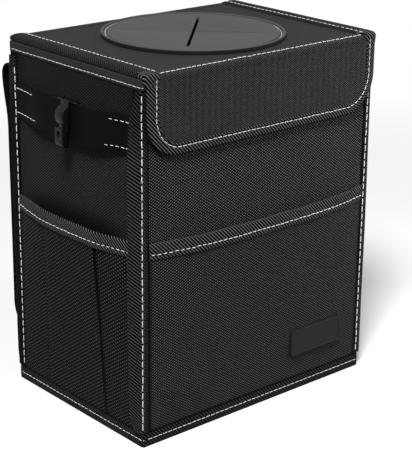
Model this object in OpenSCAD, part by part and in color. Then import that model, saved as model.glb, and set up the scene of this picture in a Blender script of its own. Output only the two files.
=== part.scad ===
// Car trash bin: a boxy fabric bin with a hinged lid, a front flap, three pockets,
// a side strap with a sliding hook on each side, and a hanging strap at the back.
// The origin is the centre of the base's underside. The front faces -Y, and +Z is up.

/* [Body] */
// Width across the outer faces of the side panels
body_w = 202; // [180:1:230]
// Depth across the outer faces of the front and back panels
body_d = 141; // [125:1:165]
// Height of the rim above the floor
body_h = 247.5; // [230:0.5:270]
// Thickness of the outer fabric
fabric_t = 1; // [0.7:0.1:1.4]
// Thickness of the stiffener boards in the walls
board_t = 1.6; // [1:0.1:2.6]
// Thickness of the stiffener board in the base
base_board_t = 2.4; // [1.5:0.1:3.5]
// Thickness of the waterproof liner
liner_t = 0.6; // [0.4:0.1:1]

/* [Edge tapes] */
// Thickness of one layer of the twill tape
tape_t = 0.8; // [0.5:0.1:1]
// Height of the hem round the base
hem_h = 10.2; // [7:0.1:14]
// Height of the band round the rim
rim_band_h = 7; // [5:0.1:12]
// Reach of a front corner tape onto the front face
corner_leg = 4.6; // [3:0.1:7]
// Length of the bound seam that stands off a front corner
fin_len = 9.3; // [6:0.1:12]
// Thickness of a bound seam
fin_t = 2.2; // [1.6:0.1:3]
// Angle at which the front left seam stands off the side panel at mid height
fin_flare = 41; // [10:1:50]
// Angle at which a seam stands off the side panel at its ends, and all along on the right
fin_rest = 12; // [8:1:20]
// Reach of a rear corner tape onto the side face
rear_leg = 9.1; // [7:0.1:12]
// Reach of a rear seam behind the back face
rear_fin = 2.4; // [1.6:0.1:8]
// Width of the bevel along the edges of a rear seam
rear_bevel = 0.6; // [0.3:0.1:0.7]

/* [Pockets] */
// Height of the pockets' top edge above the floor
pocket_z = 141.3; // [110:0.5:160]
// How far the front pocket's top edge bows out
front_bulge = 9; // [7:0.5:12]
// How far a side pocket's top edge bows out
side_bulge = 8; // [7:0.5:11]
// Thickness of the pocket fabric
pocket_t = 0.9; // [0.6:0.1:1.2]
// Height of the tape along a pocket's top edge
pocket_tape_h = 10.8; // [8:0.1:14]
// Distance of each pleat from the middle of a side pocket
pleat_y = 28; // [20:1:36]
// Depth of a pleat's step
pleat_step = 1.6; // [0.8:0.1:2.5]

/* [Lid] */
// Gap between the rim and the lid that rests over it
lid_gap = 0.3; // [0.2:0.1:0.6]
// Thickness of the lid's lining
lid_lining_t = 0.4; // [0.3:0.1:0.8]
// Thickness of the lid's board
lid_board_t = 1.2; // [0.8:0.1:2]
// Thickness of the lid's top fabric
lid_fabric_t = 0.6; // [0.4:0.1:1]
// Width of the disc's edge that lies on the lid round the hole
hole_margin = 6.7; // [5:0.1:12]
// Width of the tape along each side of the lid
lid_tape_w = 14; // [10:0.5:18]
// Height of that tape above the lid's top
lid_tape_rise = 2; // [1:0.1:3]
// Width of that tape's slope down to its outer edge
lid_tape_slope = 4.5; // [3:0.1:6]

/* [Slit disc] */
// Outer diameter of the disc
disc_dia = 125.5; // [120:0.5:128]
// Thickness of the disc
disc_t = 2.4; // [1.6:0.1:3]
// Width of the raised rim of the disc
disc_rim_w = 2; // [1.2:0.1:3]
// Height of the rim above the disc's face
disc_rim_rise = 0.6; // [0.3:0.1:1]
// Width of the stitch groove inside the rim
groove_w = 2; // [1.2:0.1:3]
// Depth of the stitch groove
groove_depth = 0.7; // [0.4:0.1:1]
// Distance from the disc's edge to the ends of the slits
slit_inset = 15.2; // [12:0.1:20]
// Width of a slit
slit_w = 2; // [1:0.1:3]

/* [Flap] */
// Distance from the lid's top to the flap's lower edge
flap_drop = 54; // [40:0.5:60]
// How far the flap reaches past each side panel
flap_over = 0.2; // [0:0.1:2]
// Radius of the flap's lower corners
flap_r = 27; // [16:0.1:30]
// Thickness of the flap's outer fabric
flap_fabric_t = 1; // [0.7:0.1:1.4]
// Thickness of the flap's lining
flap_lining_t = 0.6; // [0.4:0.1:1]
// Visible width of the tape round the flap
flap_tape_w = 9; // [7:0.5:16]
// Depth of the flap's upper edge below the lid's top
flap_below = 1.5; // [0.5:0.1:2]
// Width of the touch fastener patches
fastener_w = 90; // [60:1:130]
// Height of the touch fastener patches
fastener_h = 25; // [16:1:26]
// Thickness of the loop patch on the front panel
loop_t = 0.7; // [0.4:0.1:0.8]
// Thickness of the hook patch on the flap
hooks_t = 0.5; // [0.3:0.1:0.6]

/* [Side straps] */
// Width of all webbing
strap_w = 25; // [20:1:30]
// Thickness of all webbing
strap_t = 1.5; // [1.2:0.1:1.8]
// Depth of a side strap's centre below the rim
side_strap_below = 39; // [30:0.5:50]
// Gap behind the middle of a side strap
side_strap_gap = 4.8; // [4.4:0.1:9]
// Half length of the straight middle of a side strap
side_strap_straight = 26; // [24:1:32]

/* [Hooks] */
// Width of a hook along its strap
hook_w = 8; // [7:0.5:16]
// Width of the hook's bar over the strap's upper edge
hook_bar_w = 20; // [18:1:30]
// Height of that bar
hook_bar_h = 1.2; // [1:0.1:1.2]
// Clearance on each face of the strap inside a hook
hook_clear = 0.8; // [0.5:0.1:1]
// Clearance over the strap's upper edge
hook_seat = 0.3; // [0.2:0.1:0.5]
// Thickness of a hook's back plate
hook_plate = 1.6; // [1.2:0.1:2]
// Distance of the hook at rest in front of the middle of its strap
hook_rest = 2.5; // [0:0.1:4]
// Bulge of the hook's upper lobe in front of its strap channel
hook_lobe = 6.6; // [5:0.1:9]
// Gap between the strap and the hook's lower block
hook_mouth = 2.4; // [2:0.1:6]
// Thickness of the hook's lower block
hook_lip = 5.3; // [4:0.1:6]
// Thickness of the neck that joins the lobe to the block
hook_neck = 1.6; // [1.2:0.1:2]
// Height of the gap at the neck between the lobe and the block
hook_gap = 1.8; // [1:0.1:3]
// Rise of the block's top from the neck to its outer edge
hook_lip_rise = 1.8; // [0.5:0.1:2]
// Height of the hook's top above its seat
hook_crown = 1.4; // [1.2:0.1:3]
// Height of the lobe's upper edge above the strap's middle
hook_lobe_high = 11; // [8:0.1:12]
// Depth of the lobe's lower edge below the strap's middle
hook_lobe_low = 3.2; // [1.5:0.1:5]
// Depth of the block's lower end below the strap's middle
hook_low = 16.4; // [13:0.1:18]
// Depth of the back plate's lower end below the strap's middle
hook_plate_low = 11; // [6:0.1:12]
// Outer radius of the block's lower corner
hook_corner_r = 3.6; // [2:0.1:4]
// Radius of the eye in the block
eye_r = 1.4; // [0.8:0.1:1.8]
// Distance of the eye from the middle of the hook's width
eye_side = 0; // [0:0.1:2]
// Depth of the eye's lower end below the strap's middle
eye_low = 8.1; // [7.5:0.1:11]
// Height of the eye between the centres of its ends
eye_len = 1.4; // [1:0.1:3]

/* [Hanging strap] */
// Distance of the strap's outer edges in from the side faces
hang_inset = 2; // [1:0.5:10]
// Gap between the back panel and the hanging part
hang_gap = 8; // [7:0.5:16]
// Radius of the arch at the top, along the middle of the webbing
hang_arch_r = 6.6; // [6:0.05:10]
// Height of the arch for each unit of its radius
hang_arch_rise = 1.15; // [0.9:0.05:1.4]
// Height of the top of the sewn part below the rim
hang_sewn_below = 25.5; // [20:0.5:40]
// Length of the sewn part
hang_sewn = 24; // [16:1:40]
// Height over which the strap eases from its arch to its hanging gap
hang_ease = 36; // [24:1:60]
// Height of the loop's lowest edge above the floor
hang_bottom = 16; // [4:1:40]
// Outer radius of the loop's lower corners
hang_corner_r = 40; // [32:1:60]
// Height of the slider's middle above the floor
slider_z = 150; // [140:1:155]
// Height of the slider
slider_h = 22; // [18:1:28]
// Width of the slider's bars
slider_bar = 3; // [2.2:0.1:4]
// Thickness of the slider's bars
slider_thick = 1.8; // [1.2:0.1:2.4]
// Clearance between the slider and its strap
slider_clear = 0.3; // [0.2:0.1:0.5]

/* [Label patch] */
// Width of the bare patch
label_w = 48; // [30:1:60]
// Height of the patch
label_h = 19.5; // [14:0.5:30]
// Thickness of the patch
label_t = 1.4; // [0.8:0.1:2]
// Radius of the patch's corners
label_r = 2; // [1:0.1:4]
// Distance of the patch from the pocket's right end
label_side = 19.7; // [8:0.1:60]
// Height of the patch's centre above the floor
label_z = 38.4; // [28:0.1:60]

/* [Hidden] */
$fn = 96;
seam_gap = 0.3;
skin_gap = 0.05;
half_w = body_w / 2;
half_d = body_d / 2;
wall_top = body_h - tape_t;
wall_low = fabric_t;
board_low = fabric_t + base_board_t;
tape_low = hem_h + seam_gap;
tape_high = body_h - rim_band_h - seam_gap;
liner_out = fabric_t + board_t;
lid_low = body_h + lid_gap;
lid_board_z = lid_low + lid_lining_t;
lid_fabric_z = lid_board_z + lid_board_t;
lid_top = lid_fabric_z + lid_fabric_t;
lid_half_w = half_w - seam_gap;
lid_front = -half_d - tape_t - 0.1;
lid_back = half_d - 0.2;
lid_tape_drop = 2;
flap_back = -half_d - tape_t - seam_gap;
flap_tape_back_t = 0.4;
flap_in = flap_back - flap_tape_back_t;
flap_mid = flap_in - flap_lining_t;
flap_face = flap_mid - flap_fabric_t;
flap_tape_t = 0.6;
flap_front = flap_face - flap_tape_t;
flap_low = lid_top - flap_drop;
flap_high = lid_top - flap_below;
fastener_z = flap_low + flap_tape_w + seam_gap + fastener_h / 2;
strap_mid_z = body_h - side_strap_below;
strap_end = half_d - rear_leg - seam_gap;
hook_in = side_strap_gap + strap_t + hook_mouth;
hook_out = hook_in + hook_lip;
pocket_half_front = half_w - corner_leg - seam_gap;
pocket_half_side = half_d - rear_leg - seam_gap;
pocket_low = hem_h + seam_gap;
hang_edge = half_w - hang_inset;
hang_sewn_top = body_h - hang_sewn_below;
hang_straight_top = hang_sewn_top - hang_ease;
hang_mid = hang_gap + strap_t / 2;
hole_dia = disc_dia - 2 * hole_margin;
slit_len = disc_dia - 2 * slit_inset;
label_x = pocket_half_front - label_side - label_w / 2;
pocket_tape_low = pocket_z - pocket_tape_h;

black_cloth = [0.16, 0.16, 0.17];
black_tape = [0.22, 0.22, 0.23];
webbing = [0.08, 0.08, 0.085];
plastic = [0.1, 0.1, 0.1];
grey_rubber = [0.38, 0.38, 0.39];
board_grey = [0.55, 0.55, 0.53];
liner_grey = [0.3, 0.3, 0.31];

// A closed skin through long thin outlines that have as many points each, from the
// lowest up. Each outline runs along one face and back along the other, in pairs.
module loft(rings) {
    n = len(rings[0]);
    m = len(rings);
    last = (m - 1) * n;
    points = [for (ring = rings) each ring];
    sides = [for (k = [0:m - 2], i = [0:n - 1])
        let (a = k * n, j = (i + 1) % n)
        each [[a + i, a + n + i, a + n + j], [a + i, a + n + j, a + j]]];
    low = [for (i = [0:n / 2 - 2])
        each [[i, i + 1, n - 2 - i], [i, n - 2 - i, n - 1 - i]]];
    high = [for (face = low) [last + face[0], last + face[2], last + face[1]]];
    polyhedron(points = points, faces = concat(low, sides, high));
}

// A box between two corners
module block(low, high) {
    translate(low) cube(high - low);
}

// An upright frame of four walls, from its outer half sizes to its inner ones
module ring_wall(outer, inner, low, high) {
    difference() {
        block([-outer[0], -outer[1], low], [outer[0], outer[1], high]);
        block([-inner[0], -inner[1], low - 1], [inner[0], inner[1], high + 1]);
    }
}

// The outline of a strip of even thickness about a line of points
function normal_at(line, i) =
    let (a = line[max(i - 1, 0)], b = line[min(i + 1, len(line) - 1)], v = b - a)
    [-v[1], v[0]] / norm(v);
function strip(line, thick) = concat(
    [for (i = [0:len(line) - 1]) line[i] + normal_at(line, i) * thick / 2],
    [for (i = [len(line) - 1:-1:0]) line[i] - normal_at(line, i) * thick / 2]);

// A smooth step from 0 to 1
function ease(t) = let (c = max(0, min(1, t))) c * c * (3 - 2 * c);

// Outer fabric of the walls and the base
module base_panel() {
    color(black_cloth) block([-half_w, -half_d, 0], [half_w, half_d, fabric_t]);
}
module front_panel() {
    color(black_cloth)
        block([-half_w, -half_d, wall_low], [half_w, -half_d + fabric_t, wall_top]);
}
module back_panel() {
    color(black_cloth)
        block([-half_w, half_d - fabric_t, wall_low], [half_w, half_d, wall_top]);
}
module side_panel(side) {
    inner = half_d - fabric_t;
    near = min(side * half_w, side * (half_w - fabric_t));
    color(black_cloth)
        block([near, -inner, wall_low], [near + fabric_t, inner, wall_top]);
}
module left_panel() { side_panel(-1); }
module right_panel() { side_panel(1); }

// Stiffener boards between the outer fabric and the liner
module base_board() {
    x = half_w - fabric_t;
    y = half_d - fabric_t;
    color(board_grey) block([-x, -y, fabric_t], [x, y, board_low]);
}
module end_board(side) {
    x = half_w - fabric_t;
    near = min(side * (half_d - fabric_t), side * (half_d - liner_out));
    color(board_grey) block([-x, near, board_low], [x, near + board_t, wall_top]);
}
module front_board() { end_board(-1); }
module back_board() { end_board(1); }
module side_board(side) {
    y = half_d - liner_out;
    near = min(side * (half_w - fabric_t), side * (half_w - liner_out));
    color(board_grey) block([near, -y, board_low], [near + board_t, y, wall_top]);
}
module left_board() { side_board(-1); }
module right_board() { side_board(1); }

// Waterproof liner, an open box
module liner() {
    x = half_w - liner_out;
    y = half_d - liner_out;
    color(liner_grey) difference() {
        block([-x, -y, board_low], [x, y, wall_top]);
        block([-x + liner_t, -y + liner_t, board_low + liner_t],
            [x - liner_t, y - liner_t, body_h + 1]);
    }
}

// Hem round the base, and the band folded over the rim
module base_hem() {
    color(black_tape)
        ring_wall([half_w + tape_t, half_d + tape_t], [half_w, half_d], 0, hem_h);
}
module rim_band() {
    out = [half_w + tape_t, half_d + tape_t];
    wall = liner_out + liner_t;
    in = [half_w - wall - tape_t, half_d - wall - tape_t];
    low = body_h - rim_band_h;
    color(black_tape) difference() {
        ring_wall(out, in, low, body_h);
        ring_wall([half_w, half_d], [half_w - wall, half_d - wall], low - 1, wall_top);
    }
}

// Tape bound over the seam at a front corner. Its free edge stands off the side panel
// by an angle that is greatest at mid height, as far as the flare allows.
function fin_angle(z, flare) =
    let (t = (z - tape_low) / (tape_high - tape_low))
    fin_rest + (flare - fin_rest) * ease(t / 0.2) * (1 - ease((t - 0.72) / 0.24));
function fin_ring(z, flare) =
    let (a = fin_angle(z, flare), u = [-sin(a), cos(a)], n = [-cos(a), -sin(a)])
    [for (p = [u * fin_len * 0.97 + n * fin_t, u * fin_len * 0.5 + n * fin_t, n * fin_t,
            [-0.5, -tape_t], [corner_leg, -tape_t], [corner_leg, 0], [0, 0],
            u * fin_len * 0.5, u * fin_len * 0.97, u * fin_len + n * fin_t / 2])
        [p[0] - half_w, p[1] - half_d, z]];
module front_tape(flare) {
    steps = 20;
    color(black_tape)
        loft([for (k = [0:steps])
            fin_ring(tape_low + (tape_high - tape_low) * k / steps, flare)]);
}
module front_left_tape() { front_tape(fin_flare); }
module front_right_tape() { mirror([1, 0, 0]) front_tape(fin_rest); }

// Tape bound over the seam at a rear corner, which stands out behind the back
module rear_tape() {
    color(black_tape) translate([-half_w, half_d, tape_low])
        linear_extrude(tape_high - tape_low)
            polygon([[-tape_t, -rear_leg], [0, -rear_leg], [0, 0],
                [fin_t - tape_t, 0], [fin_t - tape_t, rear_fin - rear_bevel],
                [fin_t - tape_t - rear_bevel, rear_fin], [rear_bevel - tape_t, rear_fin],
                [-tape_t, rear_fin - rear_bevel]]);
}
module rear_left_tape() { rear_tape(); }
module rear_right_tape() { mirror([1, 0, 0]) rear_tape(); }

// Bow of a pocket: most at the middle of its top edge, none along its seams.
// Between its pleats a side pocket stands out by a further step.
function bow(x, z, half, bulge, pleat, step) =
    let (u = abs(x) / half, v = (z - pocket_low) / (pocket_z - pocket_low))
    v * ((bulge - step) * (1 - pow(u, 3)) + (abs(x) <= pleat ? step : 0));
function stations(half, pleat) = pleat == 0
    ? [for (k = [-10:10]) half * k / 10]
    : concat([for (k = [0:5]) -half + (half - pleat - 0.7) * k / 5],
        [for (k = [-6:6]) pleat * k / 6],
        [for (k = [5:-1:0]) half - (half - pleat - 0.7) * k / 5]);
function pocket_ring(z, xs, half, bulge, pleat, step, out, in) = concat(
    [for (x = xs) [x, -bow(x, z, half, bulge, pleat, step) - out, z]],
    [for (k = [len(xs) - 1:-1:0])
        [xs[k], -bow(xs[k], z, half, bulge, pleat, step) - in, z]]);
module pocket_skin(half, bulge, pleat, step, levels, out, in) {
    xs = stations(half, pleat);
    loft([for (z = levels) pocket_ring(z, xs, half, bulge, pleat, step, out, in)]);
}
// The skin's levels meet the tape's lower edge, so that both have the same faces there
skin_levels = [for (k = [0:3]) pocket_low + (pocket_tape_low - pocket_low) * k / 3, pocket_z];
tape_levels = [pocket_tape_low, pocket_z];
module on_side(side) {
    rotate([0, 0, side * 90]) translate([0, -half_w, 0]) children();
}
module front_pocket() {
    color(black_cloth) translate([0, -half_d, 0])
        pocket_skin(pocket_half_front, front_bulge, 0, 0, skin_levels, pocket_t, 0);
}
module front_pocket_tape() {
    color(black_tape) translate([0, -half_d, 0])
        pocket_skin(pocket_half_front, front_bulge, 0, 0, tape_levels,
            pocket_t + skin_gap + tape_t, pocket_t + skin_gap);
}
module side_pocket(side) {
    color(black_cloth) on_side(side)
        pocket_skin(pocket_half_side, side_bulge, pleat_y, pleat_step, skin_levels,
            pocket_t, 0);
}
module side_pocket_tape(side) {
    color(black_tape) on_side(side)
        pocket_skin(pocket_half_side, side_bulge, pleat_y, pleat_step, tape_levels,
            pocket_t + skin_gap + tape_t, pocket_t + skin_gap);
}
module left_pocket() { side_pocket(-1); }
module left_pocket_tape() { side_pocket_tape(-1); }
module right_pocket() { side_pocket(1); }
module right_pocket_tape() { side_pocket_tape(1); }

// Bare patch sewn low on the front pocket, in front of the pocket's furthest bow behind it
module label_patch() {
    near = label_x - label_w / 2;
    back = bow(near, label_z + label_h / 2, pocket_half_front, front_bulge, 0, 0) + pocket_t;
    color(plastic)
        translate([label_x, -half_d - back, label_z]) rotate([90, 0, 0])
            linear_extrude(label_t) {
                square([label_w - 2 * label_r, label_h], center = true);
                square([label_w, label_h - 2 * label_r], center = true);
                for (x = [-1, 1], y = [-1, 1])
                    translate([x * (label_w / 2 - label_r), y * (label_h / 2 - label_r)])
                            circle(label_r);
            }
}

// Touch fastener: the loop half on the front panel, the hook half on the flap
module fastener(face, thick) {
    block([-fastener_w / 2, face - thick, fastener_z - fastener_h / 2],
        [fastener_w / 2, face, fastener_z + fastener_h / 2]);
}
module loop_patch() { color(webbing) fastener(-half_d, loop_t); }
module hook_patch() { color(webbing) fastener(flap_in + hooks_t, hooks_t); }

// Webbing strap along a side, sewn down at its ends and bowed clear of the panel between
function side_line(side_out) =
    [for (k = [-20:20])
        let (x = strap_end * k / 20,
            t = (strap_end - abs(x)) / (strap_end - side_strap_straight))
        [x, -side_out - side_strap_gap * ease(min(t, 1))]];
module side_strap(side) {
    color(webbing) on_side(side)
        translate([0, 0, strap_mid_z - strap_w / 2])
            linear_extrude(strap_w) polygon(strip(side_line(strap_t / 2), strap_t));
}
module left_strap() { side_strap(-1); }
module right_strap() { side_strap(1); }

// Moulded hook that sits over a side strap's top edge. The outline is drawn as depth from
// the panel against height from the strap's middle: the back plate, the bridge over the
// strap's top edge, the rounded lobe before the strap, and the block that hangs from the
// lobe by a neck. A wider bar lies over the strap's top edge and keeps the hook upright.
module hook_outline() {
    back = side_strap_gap - hook_clear - hook_plate;
    channel = side_strap_gap - hook_clear;
    front = side_strap_gap + strap_t + hook_clear;
    seat = strap_w / 2 + hook_seat;
    top = seat + hook_crown;
    middle = (hook_lobe_high - hook_lobe_low) / 2;
    lobe_r = (hook_lobe_high + hook_lobe_low) / 2;
    neck = hook_in + hook_neck;
    turn = acos((neck - front) / hook_lobe);
    lip_top = -hook_lobe_low - hook_gap;
    polygon(concat(
        [[back, -hook_plate_low], [channel, -hook_plate_low], [channel, seat],
            [front, seat], [front, -hook_lobe_low], [hook_in, -hook_lobe_low],
            [hook_in, -hook_low]],
        [for (a = [-90:15:0])
            [hook_out - hook_corner_r * (1 - cos(a)), -hook_low + hook_corner_r * (1 + sin(a))]],
        [[hook_out, lip_top + hook_lip_rise / 2], [hook_out - hook_neck / 2, lip_top + hook_lip_rise],
            [neck, lip_top]],
        [for (k = [0:11])
            let (a = -turn + (75 + turn) * k / 11)
            [front + hook_lobe * cos(a), middle + lobe_r * sin(a)]],
        [[front + hook_plate, hook_lobe_high],
            [front + hook_plate, top - hook_clear], [front + hook_plate - hook_clear, top],
            [back + hook_clear, top], [back, top - hook_clear]]));
}
module hook(side) {
    eye_high = eye_len - eye_low;
    bar_low = strap_w / 2 + hook_seat;
    color(plastic) on_side(side)
        translate([side * -hook_rest, 0, strap_mid_z]) difference() {
            union() {
                rotate([90, 0, -90]) translate([0, 0, -hook_w / 2])
                    linear_extrude(hook_w) hook_outline();
                block([-hook_bar_w / 2, -side_strap_gap - strap_t - hook_clear, bar_low],
                    [hook_bar_w / 2, hook_clear + hook_plate / 2 - side_strap_gap,
                        bar_low + hook_bar_h]);
            }
            for (z = [-eye_low, eye_high])
                translate([eye_side, -(hook_in + hook_out) / 2, z]) rotate([90, 0, 0])
                    cylinder(h = hook_lip * 2, r = eye_r, center = true, $fn = 32);
            block([eye_side - eye_r, -hook_out - eye_r, -eye_low],
                [eye_side + eye_r, -hook_in + eye_r, eye_high]);
        }
}
module left_hook() { hook(-1); }
module right_hook() { hook(1); }

// Hanging strap at the back: both ends are sewn near the top corners, arch over and hang
// as one loop clear of the back panel
function hang_line() = concat(
    [[strap_t / 2, hang_sewn_top - hang_sewn], [strap_t / 2, hang_sewn_top]],
    [for (a = [165:-15:15])
        [strap_t / 2 + hang_arch_r * (1 + cos(a)),
            hang_sewn_top + hang_arch_rise * hang_arch_r * sin(a)]],
    [for (k = [0:8])
        let (far = strap_t / 2 + 2 * hang_arch_r)
        [far + (hang_mid - far) * ease(k / 8),
            hang_sewn_top + (hang_straight_top - hang_sewn_top) * k / 8]]);
module loop_outline(edge, low, r) {
    union() {
        translate([-edge, low + r]) square([2 * edge, hang_straight_top - low - r]);
        translate([-edge + r, low]) square([2 * (edge - r), r + 1]);
        for (side = [-1, 1]) translate([side * (edge - r), low + r]) circle(r);
    }
}
module hanging_strap() {
    inner_r = hang_corner_r - strap_w;
    color(webbing) union() {
        for (x = [-hang_edge, hang_edge - strap_w])
            translate([x, half_d, 0]) rotate([90, 0, 90])
                linear_extrude(strap_w) polygon(strip(hang_line(), strap_t));
        translate([0, half_d + hang_gap + strap_t, 0]) rotate([90, 0, 0])
            linear_extrude(strap_t) difference() {
                loop_outline(hang_edge, hang_bottom, hang_corner_r);
                intersection() {
                    loop_outline(hang_edge - strap_w, hang_bottom + strap_w, inner_r);
                    translate([-half_w, 0]) square([body_w, hang_straight_top]);
                }
            }
    }
}

// Slider that sets the length: two rails, two bars behind the webbing and one before it
module strap_slider() {
    mid = hang_edge - strap_w / 2;
    reach = strap_w / 2 + slider_clear;
    back = half_d + hang_gap - slider_clear;
    front = half_d + hang_gap + strap_t + slider_clear;
    low = slider_z - slider_h / 2;
    color(plastic) union() {
        for (x = [mid - reach - slider_bar, mid + reach])
            block([x, back - slider_thick, low], [x + slider_bar, front + slider_thick, low + slider_h]);
        for (z = [low, low + slider_h - slider_bar])
            block([mid - reach - 1, back - slider_thick, z], [mid + reach + 1, back, z + slider_bar]);
        block([mid - reach - 1, front, slider_z - slider_bar / 2],
            [mid + reach + 1, front + slider_thick, slider_z + slider_bar / 2]);
    }
}

// Lid: top fabric, board and lining, with a round hole under the disc
module lid_layer(low, high, inset) {
    difference() {
        block([-lid_half_w + inset, lid_front + inset, low],
            [lid_half_w - inset, lid_back - inset, high]);
        translate([0, 0, low - 1]) cylinder(h = high - low + 2, d = hole_dia);
    }
}
module lid_panel() { color(black_cloth) lid_layer(lid_fabric_z, lid_top, 0); }
module lid_board() { color(board_grey) lid_layer(lid_board_z, lid_fabric_z, 1.5); }
module lid_lining() { color(liner_grey) lid_layer(lid_low, lid_board_z, 0.5); }
module lid_tape() {
    x0 = half_w + tape_t - lid_tape_w;
    x1 = half_w + tape_t;
    color(black_tape) translate([0, lid_back, 0]) rotate([90, 0, 0])
        linear_extrude(lid_back - lid_front)
            polygon([[x0, lid_top], [x0 + 0.5, lid_top + lid_tape_rise * 0.6],
                [x0 + 2, lid_top + lid_tape_rise],
                [x1 - lid_tape_slope, lid_top + lid_tape_rise],
                [x1 - 1.2, lid_top + lid_tape_rise * 0.65], [x1, lid_top],
                [x1, lid_top - lid_tape_drop], [lid_half_w, lid_top - lid_tape_drop],
                [lid_half_w, lid_top]]);
}
module lid_right_tape() { lid_tape(); }
module lid_left_tape() { mirror([1, 0, 0]) lid_tape(); }

// Moulded disc with a raised rim, a stitch groove and a cross of two slits
module slit_disc() {
    r = disc_dia / 2;
    rim_in = r - disc_rim_w;
    groove_in = rim_in - groove_w;
    color(grey_rubber) translate([0, 0, lid_top]) difference() {
        rotate_extrude()
            polygon([[0, 0], [r, 0], [r, disc_t], [r - 0.5, disc_t + disc_rim_rise],
                [rim_in + 0.5, disc_t + disc_rim_rise], [rim_in, disc_t - groove_depth],
                [groove_in, disc_t - groove_depth], [groove_in, disc_t], [0, disc_t]]);
        for (turn = [-45, 45]) rotate([0, 0, turn])
            block([-slit_len / 2, -slit_w / 2, -1],
                [slit_len / 2, slit_w / 2, disc_t + 2]);
    }
}

// Front flap: outer fabric, lining, and tape folded over its sides and lower edge
module flap_outline(inset) {
    x = half_w + flap_over - inset;
    low = flap_low + inset;
    r = flap_r - inset;
    union() {
        translate([-x, low + r]) square([2 * x, flap_high - low - r]);
        translate([-x + r, low]) square([2 * (x - r), r + 1]);
        for (side = [-1, 1]) translate([side * (x - r), low + r]) circle(r);
    }
}
module flap_layer(back, front, inset) {
    translate([0, back, 0]) rotate([90, 0, 0])
        linear_extrude(back - front) flap_outline(inset);
}
module flap_panel() { color(black_cloth) flap_layer(flap_mid, flap_face, tape_t); }
module flap_lining() { color(liner_grey) flap_layer(flap_in, flap_mid, tape_t); }
module flap_tape() {
    color(black_tape) difference() {
        flap_layer(flap_back, flap_front, 0);
        flap_layer(flap_in, flap_face, tape_t);
        translate([0, flap_back + 1, 0]) rotate([90, 0, 0])
            linear_extrude(flap_back - flap_front + 2) union() {
                flap_outline(flap_tape_w);
                translate([-half_w - flap_over + flap_tape_w, flap_high - 2])
                    square([body_w + 2 * (flap_over - flap_tape_w), 4]);
            }
    }
}

base_panel();
front_panel();
back_panel();
left_panel();
right_panel();
base_board();
front_board();
back_board();
left_board();
right_board();
liner();
base_hem();
rim_band();
front_left_tape();
front_right_tape();
rear_left_tape();
rear_right_tape();
front_pocket();
front_pocket_tape();
left_pocket();
left_pocket_tape();
right_pocket();
right_pocket_tape();
label_patch();
loop_patch();
left_strap();
right_strap();
hanging_strap();
strap_slider();
left_hook();
right_hook();
lid_panel();
lid_board();
lid_lining();
lid_left_tape();
lid_right_tape();
slit_disc();
flap_panel();
flap_lining();
flap_tape();
hook_patch();
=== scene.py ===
# %% [markdown]
# # Dressing a car trash bin
# The bin is a boxy fabric box. Cloth is stretched over stiff boards, every edge is bound in
# ribbed twill tape, and every seam is sewn with thick white thread. This lesson dresses the
# imported model one kind of piece at a time: walls, bindings, pockets, straps, lid, flap, and
# at the end the thread. Lengths below are in millimetres, because sewing is measured that
# way, and one helper turns them into metres when a mesh is made.

# %% Load the imported model
import math

import bmesh
import bpy
import numpy as np
from mathutils import Matrix


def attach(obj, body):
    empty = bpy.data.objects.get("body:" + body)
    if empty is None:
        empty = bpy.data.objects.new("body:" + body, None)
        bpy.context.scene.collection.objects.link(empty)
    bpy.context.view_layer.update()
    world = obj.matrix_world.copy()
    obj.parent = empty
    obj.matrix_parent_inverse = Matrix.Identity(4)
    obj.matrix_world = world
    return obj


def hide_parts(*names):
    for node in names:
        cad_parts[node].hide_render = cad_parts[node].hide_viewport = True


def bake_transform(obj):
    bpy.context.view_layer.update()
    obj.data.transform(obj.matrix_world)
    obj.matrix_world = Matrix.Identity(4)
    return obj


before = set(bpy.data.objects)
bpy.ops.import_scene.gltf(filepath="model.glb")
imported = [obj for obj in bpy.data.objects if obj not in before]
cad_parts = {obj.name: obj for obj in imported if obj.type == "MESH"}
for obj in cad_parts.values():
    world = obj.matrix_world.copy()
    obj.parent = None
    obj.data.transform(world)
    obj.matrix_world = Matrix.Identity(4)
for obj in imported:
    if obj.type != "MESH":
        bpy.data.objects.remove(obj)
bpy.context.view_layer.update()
MM = 0.001

# %% [markdown]
# The main sizes are those of the solid model. Everything that is sewn to a wall is placed
# from these, so that a piece built here lies where its solid does.

# %% Sizes shared by many pieces
half_w, half_d = 101.0, 70.5
wall_low, wall_top = 1.0, 246.7
hem_high, rim_low, rim_high = 10.2, 240.5, 247.5
seam_low, seam_high = 10.5, 240.2
tape_t = 0.8
pocket_low, pocket_high = 10.5, 141.3
strap_z = 208.5
lid_top = 250.0
flap_face = 73.6
print("walls:", 2 * half_w, "by", 2 * half_d, "and", rim_high, "high")

# %% [markdown]
# ## The camera
# Its place was found by matching seams and corners of the real bin, so the picture lines
# up with the photograph. It stands to the front left and looks a little down.

# %% Camera
yaw, pitch, roll = math.radians(41.188), math.radians(19.539), math.radians(0.651)
focal_px, frame_px = 1461.98, 450
ahead = np.array([math.sin(yaw) * math.cos(pitch), math.cos(yaw) * math.cos(pitch), -math.sin(pitch)])
level = np.array([math.cos(yaw), -math.sin(yaw), 0.0])
upward = np.cross(level, ahead)
right_axis = level * math.cos(roll) + upward * math.sin(roll)
up_axis = -level * math.sin(roll) + upward * math.cos(roll)
eye = -(right_axis * -11.23 + up_axis * -106.59 + ahead * 1073.21) * MM
camera = bpy.data.objects.new("camera", bpy.data.cameras.new("camera"))
bpy.context.scene.collection.objects.link(camera)
camera.data.sensor_fit = "VERTICAL"
camera.data.sensor_height = 36.0
camera.data.lens = 36.0 * focal_px / frame_px
camera.data.clip_start, camera.data.clip_end = 0.05, 50
turn = Matrix([[right_axis[i], up_axis[i], -ahead[i]] for i in range(3)])
camera.matrix_world = Matrix.Translation(eye) @ turn.to_4x4()
bpy.context.scene.camera = camera
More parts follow.
